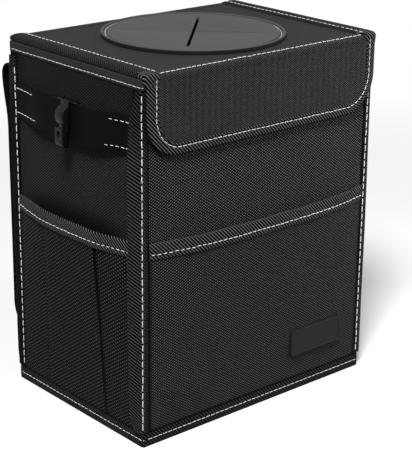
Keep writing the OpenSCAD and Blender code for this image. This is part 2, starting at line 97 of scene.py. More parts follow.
print("camera at", [round(float(v), 3) for v in eye], "lens", round(camera.data.lens, 1))

# %% [markdown]
# ## Mesh helpers
# Nearly every piece of a sewn bag is a strip or a sheet, so one helper does most of the
# work: it takes a row of closed outlines and skins them. A sheet is such a row too, with
# each outline running along the front face and back along the rear face. Each corner also
# gets a place on the cloth in millimetres, which the weave and the ribs are drawn from.

# %% Helpers that make meshes
def ease(t):
    t = np.clip(t, 0.0, 1.0)
    return t * t * (3 - 2 * t)


def stack(*parts):
    return np.stack(np.broadcast_arrays(*parts), axis=-1).astype(float)


def lengths_along(line):
    """How far each point lies along a line of points."""
    line = np.asarray(line, float)
    return np.concatenate([[0.0], np.cumsum(np.linalg.norm(np.diff(line, axis=0), axis=1))])


def lengths_round(ring):
    """The same for a closed outline, with one more value, where it meets its start."""
    return lengths_along(np.concatenate([ring, ring[:1]]))


def rounded(corners, cuts, steps=3):
    """A closed outline with its corners rounded off by the given cuts."""
    corners = np.asarray(corners, float)
    cuts = np.broadcast_to(cuts, len(corners))
    out = []
    for i, corner in enumerate(corners):
        to_last, to_next = corners[i - 1] - corner, corners[(i + 1) % len(corners)] - corner
        reach_a, reach_b = np.linalg.norm(to_last), np.linalg.norm(to_next)
        if cuts[i] <= 0:
            out.append(corner)
            continue
        a = corner + to_last / reach_a * min(cuts[i], 0.48 * reach_a)
        b = corner + to_next / reach_b * min(cuts[i], 0.48 * reach_b)
        for t in np.linspace(0, 1, steps + 1):
            out.append((1 - t) ** 2 * a + 2 * t * (1 - t) * corner + t * t * b)
    return np.array(out)


def skin(sections, uv, closed=False, paired=False):
    """Points, faces and face-corner places for a skin through outlines of equal length.
    uv has one more column than the outlines have points, and one more row if closed."""
    sections, uv = np.asarray(sections, float), np.asarray(uv, float)
    n, k = sections.shape[:2]
    faces, places = [], []
    for i in range(n if closed else n - 1):
        a, b = i * k, ((i + 1) % n) * k
        for j in range(k):
            j2 = (j + 1) % k
            faces.append((a + j, a + j2, b + j2, b + j))
            places += [uv[i, j], uv[i, j + 1], uv[i + 1, j + 1], uv[i + 1, j]]
    if not closed:
        for i, flip in ((0, True), (n - 1, False)):
            if paired:
                caps = [(j, j + 1, k - 2 - j, k - 1 - j) for j in range(k // 2 - 1)]
            else:
                caps = [tuple(range(k))]
            for cap in caps:
                cap = cap[::-1] if flip else cap
                faces.append(tuple(i * k + j for j in cap))
                places += [uv[i, j] for j in cap]
    return sections.reshape(-1, 3), faces, places


def join(*skins):
    points, faces, places, start = [], [], [], 0
    for p, f, c in skins:
        points.append(p)
        faces += [tuple(v + start for v in face) for face in f]
        places += list(c)
        start += len(p)
    return np.concatenate(points), faces, places


made = []


def piece(name, body, slot, material, shape, *nodes, sharp=40, painted_shade=None):
    """A finished mesh piece on a body, in place of the CAD nodes it stands for. Painted shade
    says how far each point is darkened, from 0 to 1, as in the creases where two tapes meet."""
    points, faces, places = shape
    mesh = bpy.data.meshes.new(name)
    mesh.from_pydata((np.asarray(points) * MM).tolist(), [], faces)
    layer = mesh.uv_layers.new(name="cloth")
    layer.data.foreach_set("uv", np.asarray(places, np.float32).ravel())
    work = bmesh.new()
    work.from_mesh(mesh)
    bmesh.ops.recalc_face_normals(work, faces=work.faces)
    if work.calc_volume(signed=True) < 0:
        bmesh.ops.reverse_faces(work, faces=work.faces)
    work.to_mesh(mesh)
    work.free()
    if painted_shade is not None:
        shade = mesh.attributes.new("painted_shade", "FLOAT", "POINT")
        shade.data.foreach_set("value", np.asarray(painted_shade, np.float32).ravel())
    mesh.shade_smooth()
    mesh.set_sharp_from_angle(angle=math.radians(sharp))
    mesh.materials.append(material)
    obj = bpy.data.objects.new(name, mesh)
    bpy.context.scene.collection.objects.link(obj)
    if body:
        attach(obj, body)
    if nodes:
        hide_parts(*nodes)
    made.append((name, len(mesh.polygons)))
    return obj


def on_face(face, points):
    """From a wall's own measures (right, out, up) to the frame. Right is as seen from outside."""
    x, out, z = points[..., 0], points[..., 1], points[..., 2]
    if face == "front":
        return stack(x, -half_d - out, z)
    if face == "back":
        return stack(-x, half_d + out, z)
    if face == "left":
        return stack(-half_w - out, -x, z)
    return stack(half_w + out, x, z)


def both_sides(front, back):
    """Rows that run along a sheet's front face and back along its rear face."""
    return np.concatenate([front, back[:, ::-1]], axis=1)


def closed_rows(grid):
    """The same rows, each with its first entry once more at its end."""
    return np.concatenate([grid, grid[:, :1]], axis=1)


print("helpers ready")

# %% [markdown]
# ## Materials
# The cloth is a coarse plain weave: from a step away it shows as a grid of small dots, with
# diagonals across it. The tape is a twill: thick slanting ribs with dark lines between
# them. Both patterns are drawn from a piece's own measures on the cloth, so they keep their
# scale on every piece and turn with the tape round a corner.

# %% Small helpers for shader nodes
def new_material(name, roughness, specular, sheen=0.0):
    material = bpy.data.materials.new(name)
    material.use_nodes = True
    shader = material.node_tree.nodes["Principled BSDF"]
    shader.inputs["Roughness"].default_value = roughness
    shader.inputs["Specular IOR Level"].default_value = specular
    shader.inputs["Sheen Weight"].default_value = sheen
    shader.inputs["Sheen Roughness"].default_value = 0.5
    return material, material.node_tree, shader


def calc(tree, operation, a, b=None, c=None):
    node = tree.nodes.new("ShaderNodeMath")
    node.operation = operation
    for socket, value in zip(node.inputs, (a, b, c)):
        if value is None:
            continue
        if isinstance(value, (int, float)):
            socket.default_value = value
        else:
            tree.links.new(value, socket)
    return node.outputs[0]


def cloth_place(tree):
    node = tree.nodes.new("ShaderNodeUVMap")
    node.uv_map = "cloth"
    split = tree.nodes.new("ShaderNodeSeparateXYZ")
    tree.links.new(node.outputs["UV"], split.inputs[0])
    return split.outputs["X"], split.outputs["Y"], node.outputs["UV"]


def wave(tree, value, pitch):
    """A wave from -1 to 1 that repeats every pitch millimetres."""
    return calc(tree, "SINE", calc(tree, "MULTIPLY", value, 2 * math.pi / pitch))


def wave_share(tree, value, pitch):
    """The same wave, from 0 to 1."""
    return calc(tree, "MULTIPLY_ADD", wave(tree, value, pitch), 0.5, 0.5)


def noise(tree, vector, scale, detail=2.0):
    node = tree.nodes.new("ShaderNodeTexNoise")
    node.inputs["Scale"].default_value = scale
    node.inputs["Detail"].default_value = detail
    tree.links.new(vector, node.inputs["Vector"])
    return node.outputs["Fac"]


def object_place(tree):
    return tree.nodes.new("ShaderNodeTexCoord").outputs["Object"]


def ramp(tree, value, stops):
    node = tree.nodes.new("ShaderNodeValToRGB")
    elements = node.color_ramp.elements
    while len(elements) < len(stops):
        elements.new(0.5)
    for element, (place, grey) in zip(elements, stops):
        element.position = place
        element.color = (*grey, 1) if isinstance(grey, tuple) else (grey, grey, grey * 1.02, 1)
    tree.links.new(value, node.inputs[0])
    return node.outputs["Color"]


def shade_by(tree, colour, value, low, high):
    """The colour made darker or lighter by a value from 0 to 1."""
    span = tree.nodes.new("ShaderNodeMapRange")
    span.inputs["To Min"].default_value = low
    span.inputs["To Max"].default_value = high
    tree.links.new(value, span.inputs["Value"])
    node = tree.nodes.new("ShaderNodeVectorMath")
    node.operation = "SCALE"
    tree.links.new(colour, node.inputs[0])
    tree.links.new(span.outputs["Result"], node.inputs["Scale"])
    return node.outputs["Vector"]


def darken_by_painted_shade(tree, colour):
    """The colour, darkened by the painted shade that a piece carries. A piece that carries none keeps it."""
    node = tree.nodes.new("ShaderNodeAttribute")
    node.attribute_name = "painted_shade"
    return shade_by(tree, colour, node.outputs["Fac"], 1.0, 0.0)


def bumped(tree, shader, height, depth_mm, strength=1.0):
    node = tree.nodes.new("ShaderNodeBump")
    node.inputs["Strength"].default_value = strength
    node.inputs["Distance"].default_value = depth_mm * MM
    tree.links.new(height, node.inputs["Height"])
    tree.links.new(node.outputs["Normal"], shader.inputs["Normal"])


print("shader helpers ready")

# %% [markdown]
# The weave: two slanting waves that cross make a checked field. Its peaks are the crowns of
# the threads, where a warp and a weft thread cross in turn, so they lie staggered like
# bricks. The crowns are painted light, a painted highlight for the glints the threads catch,
# and the ground between them stays nearly black. One slant is stronger than the other, as in
# a cloth whose two threads are twisted one way.

# %% Cloth
def cloth(name, crown, wide=2.86, high=1.96, ground=0.003, lean=0.5, streaks=0.0):
    """A black weave whose crowns repeat every wide by high millimetres of cloth."""
    material, tree, shader = new_material(name, 0.8, 0.05)
    u, v, place = cloth_place(tree)
    across = calc(tree, "MULTIPLY", u, 2 * math.pi / wide)
    along = calc(tree, "MULTIPLY", v, 2 * math.pi / high)
    rising = calc(tree, "MULTIPLY", calc(tree, "COSINE", calc(tree, "SUBTRACT", across, along)), lean)
    falling = calc(tree, "MULTIPLY", calc(tree, "COSINE", calc(tree, "ADD", across, along)), 1 - lean)
    peaks = calc(tree, "MAXIMUM", calc(tree, "SUBTRACT", rising, falling), 0.0)
    # The crowns' light colour is a painted highlight, for the glints on the threads' tops.
    colour = ramp(tree, calc(tree, "POWER", peaks, 1.8), [(0.0, ground), (1.0, crown)])
    colour = shade_by(tree, colour, noise(tree, place, 0.035), 0.88, 1.12)
    colour = shade_by(tree, colour, noise(tree, place, 0.9, 1.0), 0.7, 1.3)
    if streaks:
        streak_pitch = 5.3
        colour = shade_by(tree, colour, wave_share(tree, u, streak_pitch), 1 - streaks, 1 + streaks)
    tree.links.new(darken_by_painted_shade(tree, colour), shader.inputs["Base Color"])
    bumped(tree, shader, peaks, 0.25, 0.6)
    return material


front_weave = cloth("front_weave", 0.22, ground=0.001, lean=0.64)
pocket_weave = cloth("pocket_weave", 0.185, ground=0.001, lean=0.68)
# The side walls' and side pockets' cloth has darker crowns than the front's: painted shade on the side walls.
shaded_side_weave = cloth("shaded_side_weave", 0.104, 2.5, 1.9, ground=0.004)
shaded_side_pocket_weave = cloth("shaded_side_pocket_weave", 0.105, 3.8, 2.6, ground=0.001, lean=0.45)
lid_weave = cloth("lid_weave", 0.060, ground=0.021)
flap_weave = cloth("flap_weave", 0.165, 2.0, 1.5, ground=0.009, streaks=0.14)
print("cloth materials ready")

# %% [markdown]
# The twill tape: a wave across the ribs' slope, sharpened so that each rib's top is painted
# light and the lines between them black, a painted highlight and painted shade on the ribs,
# and a faint finer wave along each rib for its threads. The tape on the lid is pressed smooth
# on top, and shows its ribs only where it turns down over the side.

# %% Twill tape
def twill(name, slope_deg, pitch, dark=0.001, light=0.16, sharpness=4.5, smooth_to=None):
    material, tree, shader = new_material(name, 0.78, 0.05)
    u, v, place = cloth_place(tree)
    slope = math.radians(slope_deg)
    if smooth_to:
        u = calc(tree, "ABSOLUTE", u)
    across = calc(tree, "ADD", calc(tree, "MULTIPLY", u, math.sin(slope)),
                  calc(tree, "MULTIPLY", v, math.cos(slope)))
    along = calc(tree, "SUBTRACT", calc(tree, "MULTIPLY", u, math.cos(slope)),
                 calc(tree, "MULTIPLY", v, math.sin(slope)))
    thread_pitch = 0.9
    rib = wave_share(tree, across, pitch)
    thread = wave_share(tree, along, thread_pitch)
    top = calc(tree, "POWER", rib, sharpness)
    if smooth_to:
        ribbed = tree.nodes.new("ShaderNodeMapRange")
        ribbed.inputs["From Min"].default_value = smooth_to - 0.6
        ribbed.inputs["From Max"].default_value = smooth_to + 0.6
        tree.links.new(u, ribbed.inputs["Value"])
        top = calc(tree, "MULTIPLY_ADD", calc(tree, "SUBTRACT", top, 0.35), ribbed.outputs["Result"], 0.35)
    # Rib tops painted light and the lines between them dark: painted highlight and painted shade on the ribs.
    colour = ramp(tree, top, [(0.0, dark), (1.0, light)])
    colour = shade_by(tree, colour, thread, 0.85, 1.15)
    colour = shade_by(tree, colour, noise(tree, place, 0.06), 0.85, 1.15)
    tree.links.new(darken_by_painted_shade(tree, colour), shader.inputs["Base Color"])
    bumped(tree, shader, top if smooth_to else rib, 0.35, 0.7)
    return material


corner_twill = twill("corner_twill", 36, 1.9, light=0.112, sharpness=8.0)
edge_twill = twill("edge_twill", 46, 1.8, light=0.155, sharpness=5.4)
hem_twill = twill("hem_twill", 48, 1.9, light=0.050)
lid_twill = twill("lid_twill", 45, 1.5, 0.002, 0.036, 2.0, smooth_to=11.2)
print("twill materials ready")

# %% [markdown]
# The straps are smooth black webbing whose cross ribs hardly show. The band round the rim
# and the hem are the same tape turned over, so they look smooth as well.

# %% Webbing, band, lining and fastener
def webbing(name, dark, light, pitch, roughness):
    material, tree, shader = new_material(name, roughness, 0.04)
    u, v, place = cloth_place(tree)
    rib = wave(tree, u, pitch)
    yarn = wave(tree, v, pitch * 1.4)
    height = calc(tree, "MULTIPLY_ADD", calc(tree, "MULTIPLY", rib, yarn), 0.5, 0.5)
    colour = ramp(tree, height, [(0.0, dark), (1.0, light)])
    colour = shade_by(tree, colour, noise(tree, place, 0.08), 0.85, 1.15)
    tree.links.new(colour, shader.inputs["Base Color"])
    bumped(tree, shader, height, 0.12, 0.6)
    return material


strap_web = webbing("strap_web", 0.0015, 0.0035, 1.3, 0.75)
band_web = webbing("band_web", 0.020, 0.038, 1.1, 0.75)
lining_cloth = webbing("lining_cloth", 0.045, 0.065, 0.9, 0.8)


def speckled(name, dark, light, scale, depth_mm, roughness, specular, sheen=0.0):
    """A surface whose colour and relief come from fine noise in its own place."""
    material, tree, shader = new_material(name, roughness, specular, sheen)
    place = object_place(tree)
    grain = noise(tree, place, scale, 4.0)
    colour = ramp(tree, grain, [(0.3, dark), (0.7, light)])
    colour = shade_by(tree, colour, noise(tree, place, scale * 0.03), 0.92, 1.08)
    tree.links.new(darken_by_painted_shade(tree, colour), shader.inputs["Base Color"])
    bumped(tree, shader, grain, depth_mm, 0.5)
    return material


disc_rubber = speckled("disc_rubber", 0.069, 0.078, 1500, 0.05, 0.7, 0.06)
hook_plastic = speckled("hook_plastic", 0.002, 0.004, 2200, 0.03, 0.38, 0.14)
patch_rubber = speckled("patch_rubber", 0.007, 0.010, 1800, 0.04, 0.55, 0.12)
fastener_pile = speckled("fastener_pile", 0.006, 0.020, 1300, 0.5, 0.95, 0.03, 0.1)
board_pulp = speckled("board_pulp", 0.20, 0.26, 700, 0.05, 0.85, 0.2)
liner_film = speckled("liner_film", 0.16, 0.19, 90, 0.25, 0.45, 0.45)
thread_white = speckled("thread_white", 0.78, 0.95, 1600, 0.12, 0.6, 0.2)
print("materials:", len(bpy.data.materials))

# %% [markdown]
# ## Walls
# The walls are cloth pulled over boards. It can't be perfectly flat: it ripples by a few
# tenths of a millimetre where nothing is sewn over it, which breaks up the light on it.

# %% Cloth of the four walls and the base
def ripple(x, z, start):
    return (0.5 * np.sin(x / 17 + z / 41 + start) + 0.3 * np.sin(x / 9 - z / 23 + 1.7 * start)
            + 0.2 * np.sin(z / 12 + 2.3 * start))


def wall(face, half, material, low_free, start, seam_leg=4.6):
    """One wall's cloth. It ripples above low_free, and seam_leg of it lies under the tapes, where painted shade
    darkens a line along the tape's edge.
    """
    by_seam = half - np.array([3.6, 4.4, 5.2, 6.0, 6.6, 7.2, 8.2, 9.0, 9.8, 10.6])
    xs = np.unique(np.concatenate([np.linspace(-half, half, 57), by_seam, -by_seam]))
    x, z = np.meshgrid(xs, np.linspace(wall_low, wall_top, 71))
    free = ease((z - low_free) / 16) * ease((236 - z) / 14) * ease((half - 8 - abs(x)) / 18)
    out = 0.45 * ripple(x, z, start) * free
    loops = both_sides(stack(x, out, z), stack(x, -1.0, z))
    shape = skin(on_face(face, loops), closed_rows(loops[..., [0, 2]]), paired=True)
    # Painted shade: a dark line along the tapes' edges, a darker band beside the side walls' seams, and shade
    # on the side walls above the pockets and under the lid.
    from_tape = half - seam_leg - abs(x)
    at_side = face in ("left", "right")
    painted_shade = 0.95 * (1 - ease(from_tape / 1.5)) + 0.25 * (1 - ease(from_tape / 12)) * at_side
    shadow_over_pocket = 0.75 * (1 - ease((z - pocket_high) / 14)) * ease((half - abs(x)) / 40)
    shadow_under_lid = 0.38 * ease((z - 208) / 20)
    painted_shade = np.clip(painted_shade + (shadow_over_pocket * (z > pocket_high - 20) + shadow_under_lid) * at_side, 0, 0.95)
    painted_shade = both_sides(painted_shade, painted_shade)
    obj = piece(face + "_cloth", "bin", "outer_fabric", material, shape, face + "_panel", painted_shade=painted_shade)


wall("front", half_w, front_weave, 146, 0.4)
wall("back", half_w, front_weave, 16, 1.9)
wall("left", half_d - 1, shaded_side_weave, 146, 3.1, 6.1)
wall("right", half_d - 1, shaded_side_weave, 146, 4.7, 6.1)

base_x, base_y = np.meshgrid(np.linspace(-half_w, half_w, 41), np.linspace(-half_d, half_d, 31))
dent = 0.35 * ease((half_w - abs(base_x)) / 30) * ease((half_d - abs(base_y)) / 30)
under = stack(base_x, base_y, dent)
over = stack(base_x, base_y, np.full_like(base_x, 1.0))
loops = both_sides(over, under)
base_cloth = piece("base_cloth", "bin", "outer_fabric", front_weave,
                   skin(loops, closed_rows(loops[..., :2]), paired=True), "base_panel")
print("wall pieces:", made[-5:])

# %% [markdown]
# The hem and the rim's band run right round the box. Each is one closed strip with a soft
# round at the box's corners, where a stiff tape can't make a sharp turn.

# %% Hem and rim band
def box_ring(offset, radius, side_steps=20, corner_steps=5):
    """Points round the box at a distance outside its walls, the corners rounded."""
    r = max(0.25, radius + offset)
    hx, hy = half_w + offset, half_d + offset
    out = []
    for k, (sx, sy) in enumerate([(1, -1), (1, 1), (-1, 1), (-1, -1)]):
        centre = np.array([sx * (hx - r), sy * (hy - r)])
        start = -90 + 90 * k
        arc = [centre + r * np.array([math.cos(math.radians(a)), math.sin(math.radians(a))])
               for a in np.linspace(start, start + 90, corner_steps + 1)]
        out += arc
        sx2, sy2 = [(1, 1), (-1, 1), (-1, -1), (1, -1)][k]
        centre2 = np.array([sx2 * (hx - r), sy2 * (hy - r)])
        a2 = math.radians(start + 90)
        goal = centre2 + r * np.array([math.cos(a2), math.sin(a2)])
        out += [arc[-1] + (goal - arc[-1]) * t for t in np.linspace(0, 1, side_steps + 1)[1:-1]]
    return np.array(out)


band_corner = 1.2


def band(profile):
    """A closed strip round the box from its profile of (out, up) points."""
    rings = [box_ring(out, band_corner) for out, _ in profile]
    base = box_ring(0.0, band_corner)
    sections = np.stack([stack(r[:, 0], r[:, 1], z) for r, (_, z) in zip(rings, profile)], axis=1)
    around, across = lengths_round(base), lengths_round(profile)
    return skin(sections, stack(around[:, None], across[None, :]), closed=True)


hem_profile = rounded([(0.0, 0.0), (0.62, 0.0), (0.85, 2.0), (0.78, 5.1), (0.85, 8.0), (0.55, hem_high),
                       (0.0, hem_high)], [0, 0.5, 1.2, 1.4, 1.2, 0.4, 0])
# Painted shade along the top of the hem, for the dark line where it meets the wall above.
hem_painted_shade = 0.9 * ease((hem_profile[:, 1] - hem_high + 1.2) / 0.8)
hem_painted_shade = np.broadcast_to(hem_painted_shade, (len(box_ring(0, band_corner)), len(hem_profile)))
piece("hem_strip", "bin", "twill_tape", hem_twill, band(hem_profile), "base_hem", painted_shade=hem_painted_shade)
rim_profile = rounded([(0.0, rim_low), (0.55, rim_low), (0.85, 241.4), (0.72, 242.5), (0.85, 244.0),
                       (0.8, rim_high), (-4.0, rim_high), (-4.0, rim_low), (-3.2, rim_low),
                       (-3.2, wall_top), (0.0, wall_top)],
                      [0, 0.4, 0.6, 0.7, 1.0, 0.9, 0.9, 0.3, 0.3, 0, 0])
piece("rim_strip", "bin", "twill_tape", band_web, band(rim_profile), "rim_band")
print("bands:", made[-2:])

# %% [markdown]
# ## Bound corner seams
# At each corner two walls meet in a seam that is wrapped in tape. At the front it stands
# off the corner like a fin, most of all at mid height on the left, and lies flatter near
# its ends. At the back it stands out behind the box.

# %% Corner tapes
fin_length, fin_thick = 9.3, 2.2


def right_thick(z):
    """The right front seam is pressed thinner towards the top."""
    return fin_thick - 1.3 * ease((z - 110) / 110)


def fin_outline(z, flare, thick):
    """A front seam's outline at one height. Flare is its angle to the wall at mid height."""
    t = (z - seam_low) / (seam_high - seam_low)
    angle = math.radians(12 + (flare - 12) * ease(t / 0.2) * (1 - ease((t - 0.72) / 0.24)))
    angle += math.radians(1.6 * math.sin(z / 13) + 0.9 * math.sin(z / 5.1))
    along = np.array([-math.sin(angle), math.cos(angle)])
    off = np.array([-math.cos(angle), -math.sin(angle)])
    reach = fin_length * (0.42 + 0.58 * ease((seam_high - z) / 20)) * (0.7 + 0.3 * ease((z - seam_low) / 10))
    corners = [along * reach + off * thick * 0.9, along * reach * 0.5 + off * thick * 1.04, off * thick,
               (-0.55, -0.72), (1.4, -0.9), (4.4, -tape_t), (4.6, 0.1), (0.2, 0.1),
               along * reach * 0.5, along * reach + off * 0.2]
    return rounded(corners, [1.0, 2.0, 0.9, 0.5, 0.8, 0.5, 0, 0, 2.0, 0.9], 2)


def front_seam(name, side, flare, node):
    sections, places, painted_shade = [], [], []
    for z in np.linspace(seam_low, seam_high, 76):
        ring = fin_outline(z, flare, fin_thick if side < 0 else float(right_thick(z)))
        around = lengths_round(ring)
        x = (ring[:, 0] - half_w) * -side
        leg = np.clip(ring[:, 0], 0, 5) * (ring[:, 1] < 0)
        around = around + 0.9 * np.append(leg, leg[0])
        sections.append(stack(x, ring[:, 1] - half_d, z))
        places.append(stack(around * -side * (0.76 + 0.24 * float(ease((205 - z) / 60))), z))
        # Painted shade in the crease where the tape's leg meets the wall, and on the tape towards the top,
        # under the lid.
        crease_shade = 0.42 * ease((leg - 0.8) / 0.6) + 0.5 * ease((leg - 3.4) / 0.9)
        painted_shade.append(np.maximum(crease_shade, 0.5 * ease((z - 190) / 30)))
    return piece(name, "bin", "twill_tape", corner_twill, skin(sections, places), node, painted_shade=painted_shade)


front_seam("front_left_binding", -1, 41, "front_left_tape")
front_seam("front_right_binding", 1, 12, "front_right_tape")


def rear_seam(name, side, node):
    top = seam_high - 2.5
    sections, places, painted_shade = [], [], []
    for z in np.linspace(seam_low, top, 60):
        lean = 0.15 * math.sin(z / 19) * ease((z - 20) / 20)
        end = 2.4 * (0.5 + 0.5 * ease((top - z) / 14) * ease((z - seam_low) / 12))
        ring = rounded([(-tape_t, -7.1), (0.1, -7.1), (0.1, 0.1), (1.3, 0.1), (1.4, end * 0.8),
                        (0.4, end + 0.1), (-0.6 - lean, end), (-0.95, end * 0.3), (-0.78, -4.2)],
                       [0.4, 0, 0, 0.3, 0.6, 0.5, 0.6, 1.0, 0.8], 2)
        # Painted shade: the rear tapes are darkened, more so lower down, and most at the leg's end against the
        # side wall.
        painted_shade.append(np.clip(0.40 + 0.56 * ease((226 - z) / 30) + 0.25 * (ring[:, 1] < -6.0), 0, 0.97))
        sections.append(stack(side * (half_w - ring[:, 0]), half_d + ring[:, 1], z))
        places.append(stack(lengths_round(ring) * side, z))
    return piece(name, "bin", "twill_tape", corner_twill, skin(sections, places), node, painted_shade=painted_shade)


rear_seam("rear_left_binding", -1, "rear_left_tape")
rear_seam("rear_right_binding", 1, "rear_right_tape")
print("seams:", made[-4:])

# %% [markdown]
# ## Pockets
# A pocket is one sheet sewn down at both sides and along the bottom, with its top edge
# bowed out. The side pockets have two pleats, which stay visible as creases all the way
# down. Tape is folded over each top edge.

# %% Pocket sheets
side_half = 61.1
# Each pocket's half width, how far its top edge bows out, and the height of its pleats' step
pocket_sizes = {"front": (96.1, 9.0, 0.0), "left": (side_half, 8.0, 1.6), "right": (side_half, 8.0, 1.6)}


def pocket_bow(x, z, half, bulge, step):
    v = (z - pocket_low) / (pocket_high - pocket_low)
    return v * (bulge - step) * (1 - np.minimum(abs(x) / half, 1) ** 3)


def side_ends(face, half):
    """Where a sheet on a wall starts and ends. On a side it goes on under the rear tape."""
    return -half - 2 * (face == "left"), half + 2 * (face == "right")


def pleat(side, deep):
    """Columns of (right, share of the step, depth) across a pleat, from the middle outwards."""
    fold = [(25.5, 1.0), (26.8, 1.02), (27.7, 0.98), (28.3, 0.8), (28.5, 0.5), (28.35, 0.2),
            (28.5, -0.08), (29.1, -0.1), (30.4, -0.02)]
    return [(side * x, share, deep) for x, share in fold]


def pocket_columns(face, half, step, depths):
    """The same kind of columns across a whole pocket. Depths are those of its two pleats."""
    start, end = side_ends(face, half)
    if step:
        left = [(x, 0.0, depths[0]) for x in np.linspace(start, -32, 14)]
        middle = [(x, 1.0, 0.5 * (depths[0] + depths[1])) for x in np.linspace(-24, 24, 21)]
        right = [(x, 0.0, depths[1]) for x in np.linspace(32, end, 14)]
        columns = left + pleat(-1, depths[0])[::-1] + middle + pleat(1, depths[1]) + right
    else:
        columns = [(x, 0.0, 1.0) for x in np.linspace(-half, half, 73)]
    return np.array(columns)


def pocket(face, material, depths=(0, 0)):
    half, bulge, step = pocket_sizes[face]
    start, end = side_ends(face, half)
    columns = pocket_columns(face, half, step, depths)
    upper = np.linspace(pocket_low + 2.2, pocket_high - 0.3, 45)
    zs = np.concatenate([[pocket_low, pocket_low + 0.8], upper])
    x, z = np.meshgrid(columns[:, 0], zs)
    spread = ease((abs(x) - 12) / 12) * ease((half - abs(x)) / 26) if step else 0.0
    x = x + np.sign(x) * 4.0 * spread * (1 - (z - pocket_low) / (pocket_high - pocket_low))
    from_middle = abs(columns[:, 0])
    crease = ease((from_middle - 27.6) / 0.6) * ease((30.6 - from_middle) / 1.4) * (step > 0)
    rise, deep = np.broadcast_to(columns[:, 1], x.shape), np.broadcast_to(columns[:, 2], x.shape)
    v = (z - pocket_low) / (pocket_high - pocket_low)
    loose = ease(v / 0.15) * ease((1.02 - v) / 0.12) * ease((half - 4 - abs(x)) / 20)
    out = pocket_bow(x, z, half, bulge, step) + step * rise * deep * (0.3 + 0.7 * v)
    out = out + 0.4 * ripple(x * 1.1, z * 1.3, half * 0.05) * loose + 0.9
    inner = np.maximum(out - 0.9, 0.02)
    xs_in = np.linspace(columns[0, 0], columns[-1, 0], len(columns))
    rising = np.maximum.accumulate(columns[:, 0])
    inner = np.stack([np.interp(xs_in, rising, line) for line in inner])
    loops = both_sides(stack(x, out, z), stack(xs_in, inner, z))
    unfolded = lengths_along(stack(columns[:, 0], columns[:, 1] * step)) + columns[0, 0]
    grid = stack(unfolded + x - columns[:, 0], z)
    shape = skin(on_face(face, loops), closed_rows(both_sides(grid, grid)), paired=True)
    # Painted shade along the pocket's bottom seam, in its pleats' creases and beside its side seams.
    painted_shade = 0.85 * (1 - ease((z - pocket_low) / 1.6)) + 0.8 * crease * deep
    painted_shade = np.clip(painted_shade + 0.9 * (1 - ease(np.minimum(x - start, end - x) / 1.4)), 0, 0.95)
    obj = piece(face + "_pocket_cloth", "bin", "outer_fabric", material, shape, face + "_pocket",
                sharp=60, painted_shade=both_sides(painted_shade, painted_shade))


pocket("front", pocket_weave)
pocket("left", shaded_side_pocket_weave, (0.45, 1.0))
pocket("right", shaded_side_pocket_weave, (1.0, 0.6))
print("pockets:", made[-3:])

# %% [markdown]
# The tape over a pocket's top edge is folded in half: one layer outside, one inside, with
# a soft round on top. Near the seams there is no room behind the cloth, so the inner layer
# thins out there.

# %% Tape on the pockets
def pocket_line(x, half, bulge, step):
    """How far the tape stands out at its own height, with the pleats' steps smoothed."""
    wide = ease((46 - abs(x)) / 20) if step else 0.0
    return pocket_bow(x, 138.0, half, bulge, step) + step * wide + 0.9


def pocket_edge(face):
    half = pocket_sizes[face][0]
    xs = np.linspace(*side_ends(face, half), 81)
    low = pocket_high - 10.8
    sections, places = [], []
    run = lengths_along(stack(xs, pocket_line(xs, *pocket_sizes[face])))
    for x, u in zip(xs, run):
        here = pocket_line(x, *pocket_sizes[face])
        deep = min(0.75, max(0.05, here - 1.1))
        sway = 0.15 * math.sin(x / 7.0)
        corners = [(0.03, low), (0.62, low - 0.1), (0.86, low + 1.6), (0.72, low + 3.4), (0.86, low + 5.4),
                   (0.84, pocket_high + 0.1), (-0.9 - deep, pocket_high + 0.1), (-0.95 - deep, low + 2.5),
                   (-0.92, low + 2.5), (-0.9, pocket_high - 0.4), (0.03, pocket_high - 0.4)]
        ring = rounded(corners, [0, 0.4, 0.8, 0.8, 1.0, 0.9, 0.9, 0.2, 0, 0, 0], 2)
        sections.append(stack(x, here + ring[:, 0], ring[:, 1] + sway))
        places.append(stack(u, lengths_round(ring)))
    shape = skin(on_face(face, np.array(sections)), places)
    piece(face + "_pocket_edge", "bin", "twill_tape", edge_twill, shape, face + "_pocket_tape")


for face in pocket_sizes:
    pocket_edge(face)
print("pocket tapes:", made[-3:])

# %% [markdown]
# ## Flat pads
# The bare patch, and both halves of the touch fastener, are flat pads with a rounded
# outline. One helper skins them from rings of a rounded rectangle, each ring with its own
# inset and height, so that the patch can have a raised border.

# %% Bare patch and touch fastener
def pad_ring(w, h, r, inset, steps=6):
    r2 = max(0.2, r - inset)
    hw, hh = w / 2 - inset, h / 2 - inset
    out = []
    for k, (sx, sz) in enumerate([(1, -1), (1, 1), (-1, 1), (-1, -1)]):
        for a in np.linspace(-90 + 90 * k, 90 * k, steps):
            out.append((sx * (hw - r2) + r2 * math.cos(math.radians(a)),
                        sz * (hh - r2) + r2 * math.sin(math.radians(a))))
    return np.array(out)


def pad(face, x, z, w, h, r, levels):
    """Levels are (inset, out) pairs from the back to the middle of the front."""
    sections, places = [], []
    for inset, out in levels:
        ring = pad_ring(w, h, r, inset)
        sections.append(on_face(face, stack(ring[:, 0] + x, out, ring[:, 1] + z)))
        places.append(np.concatenate([ring, ring[:1]]))
    return skin(sections, places)


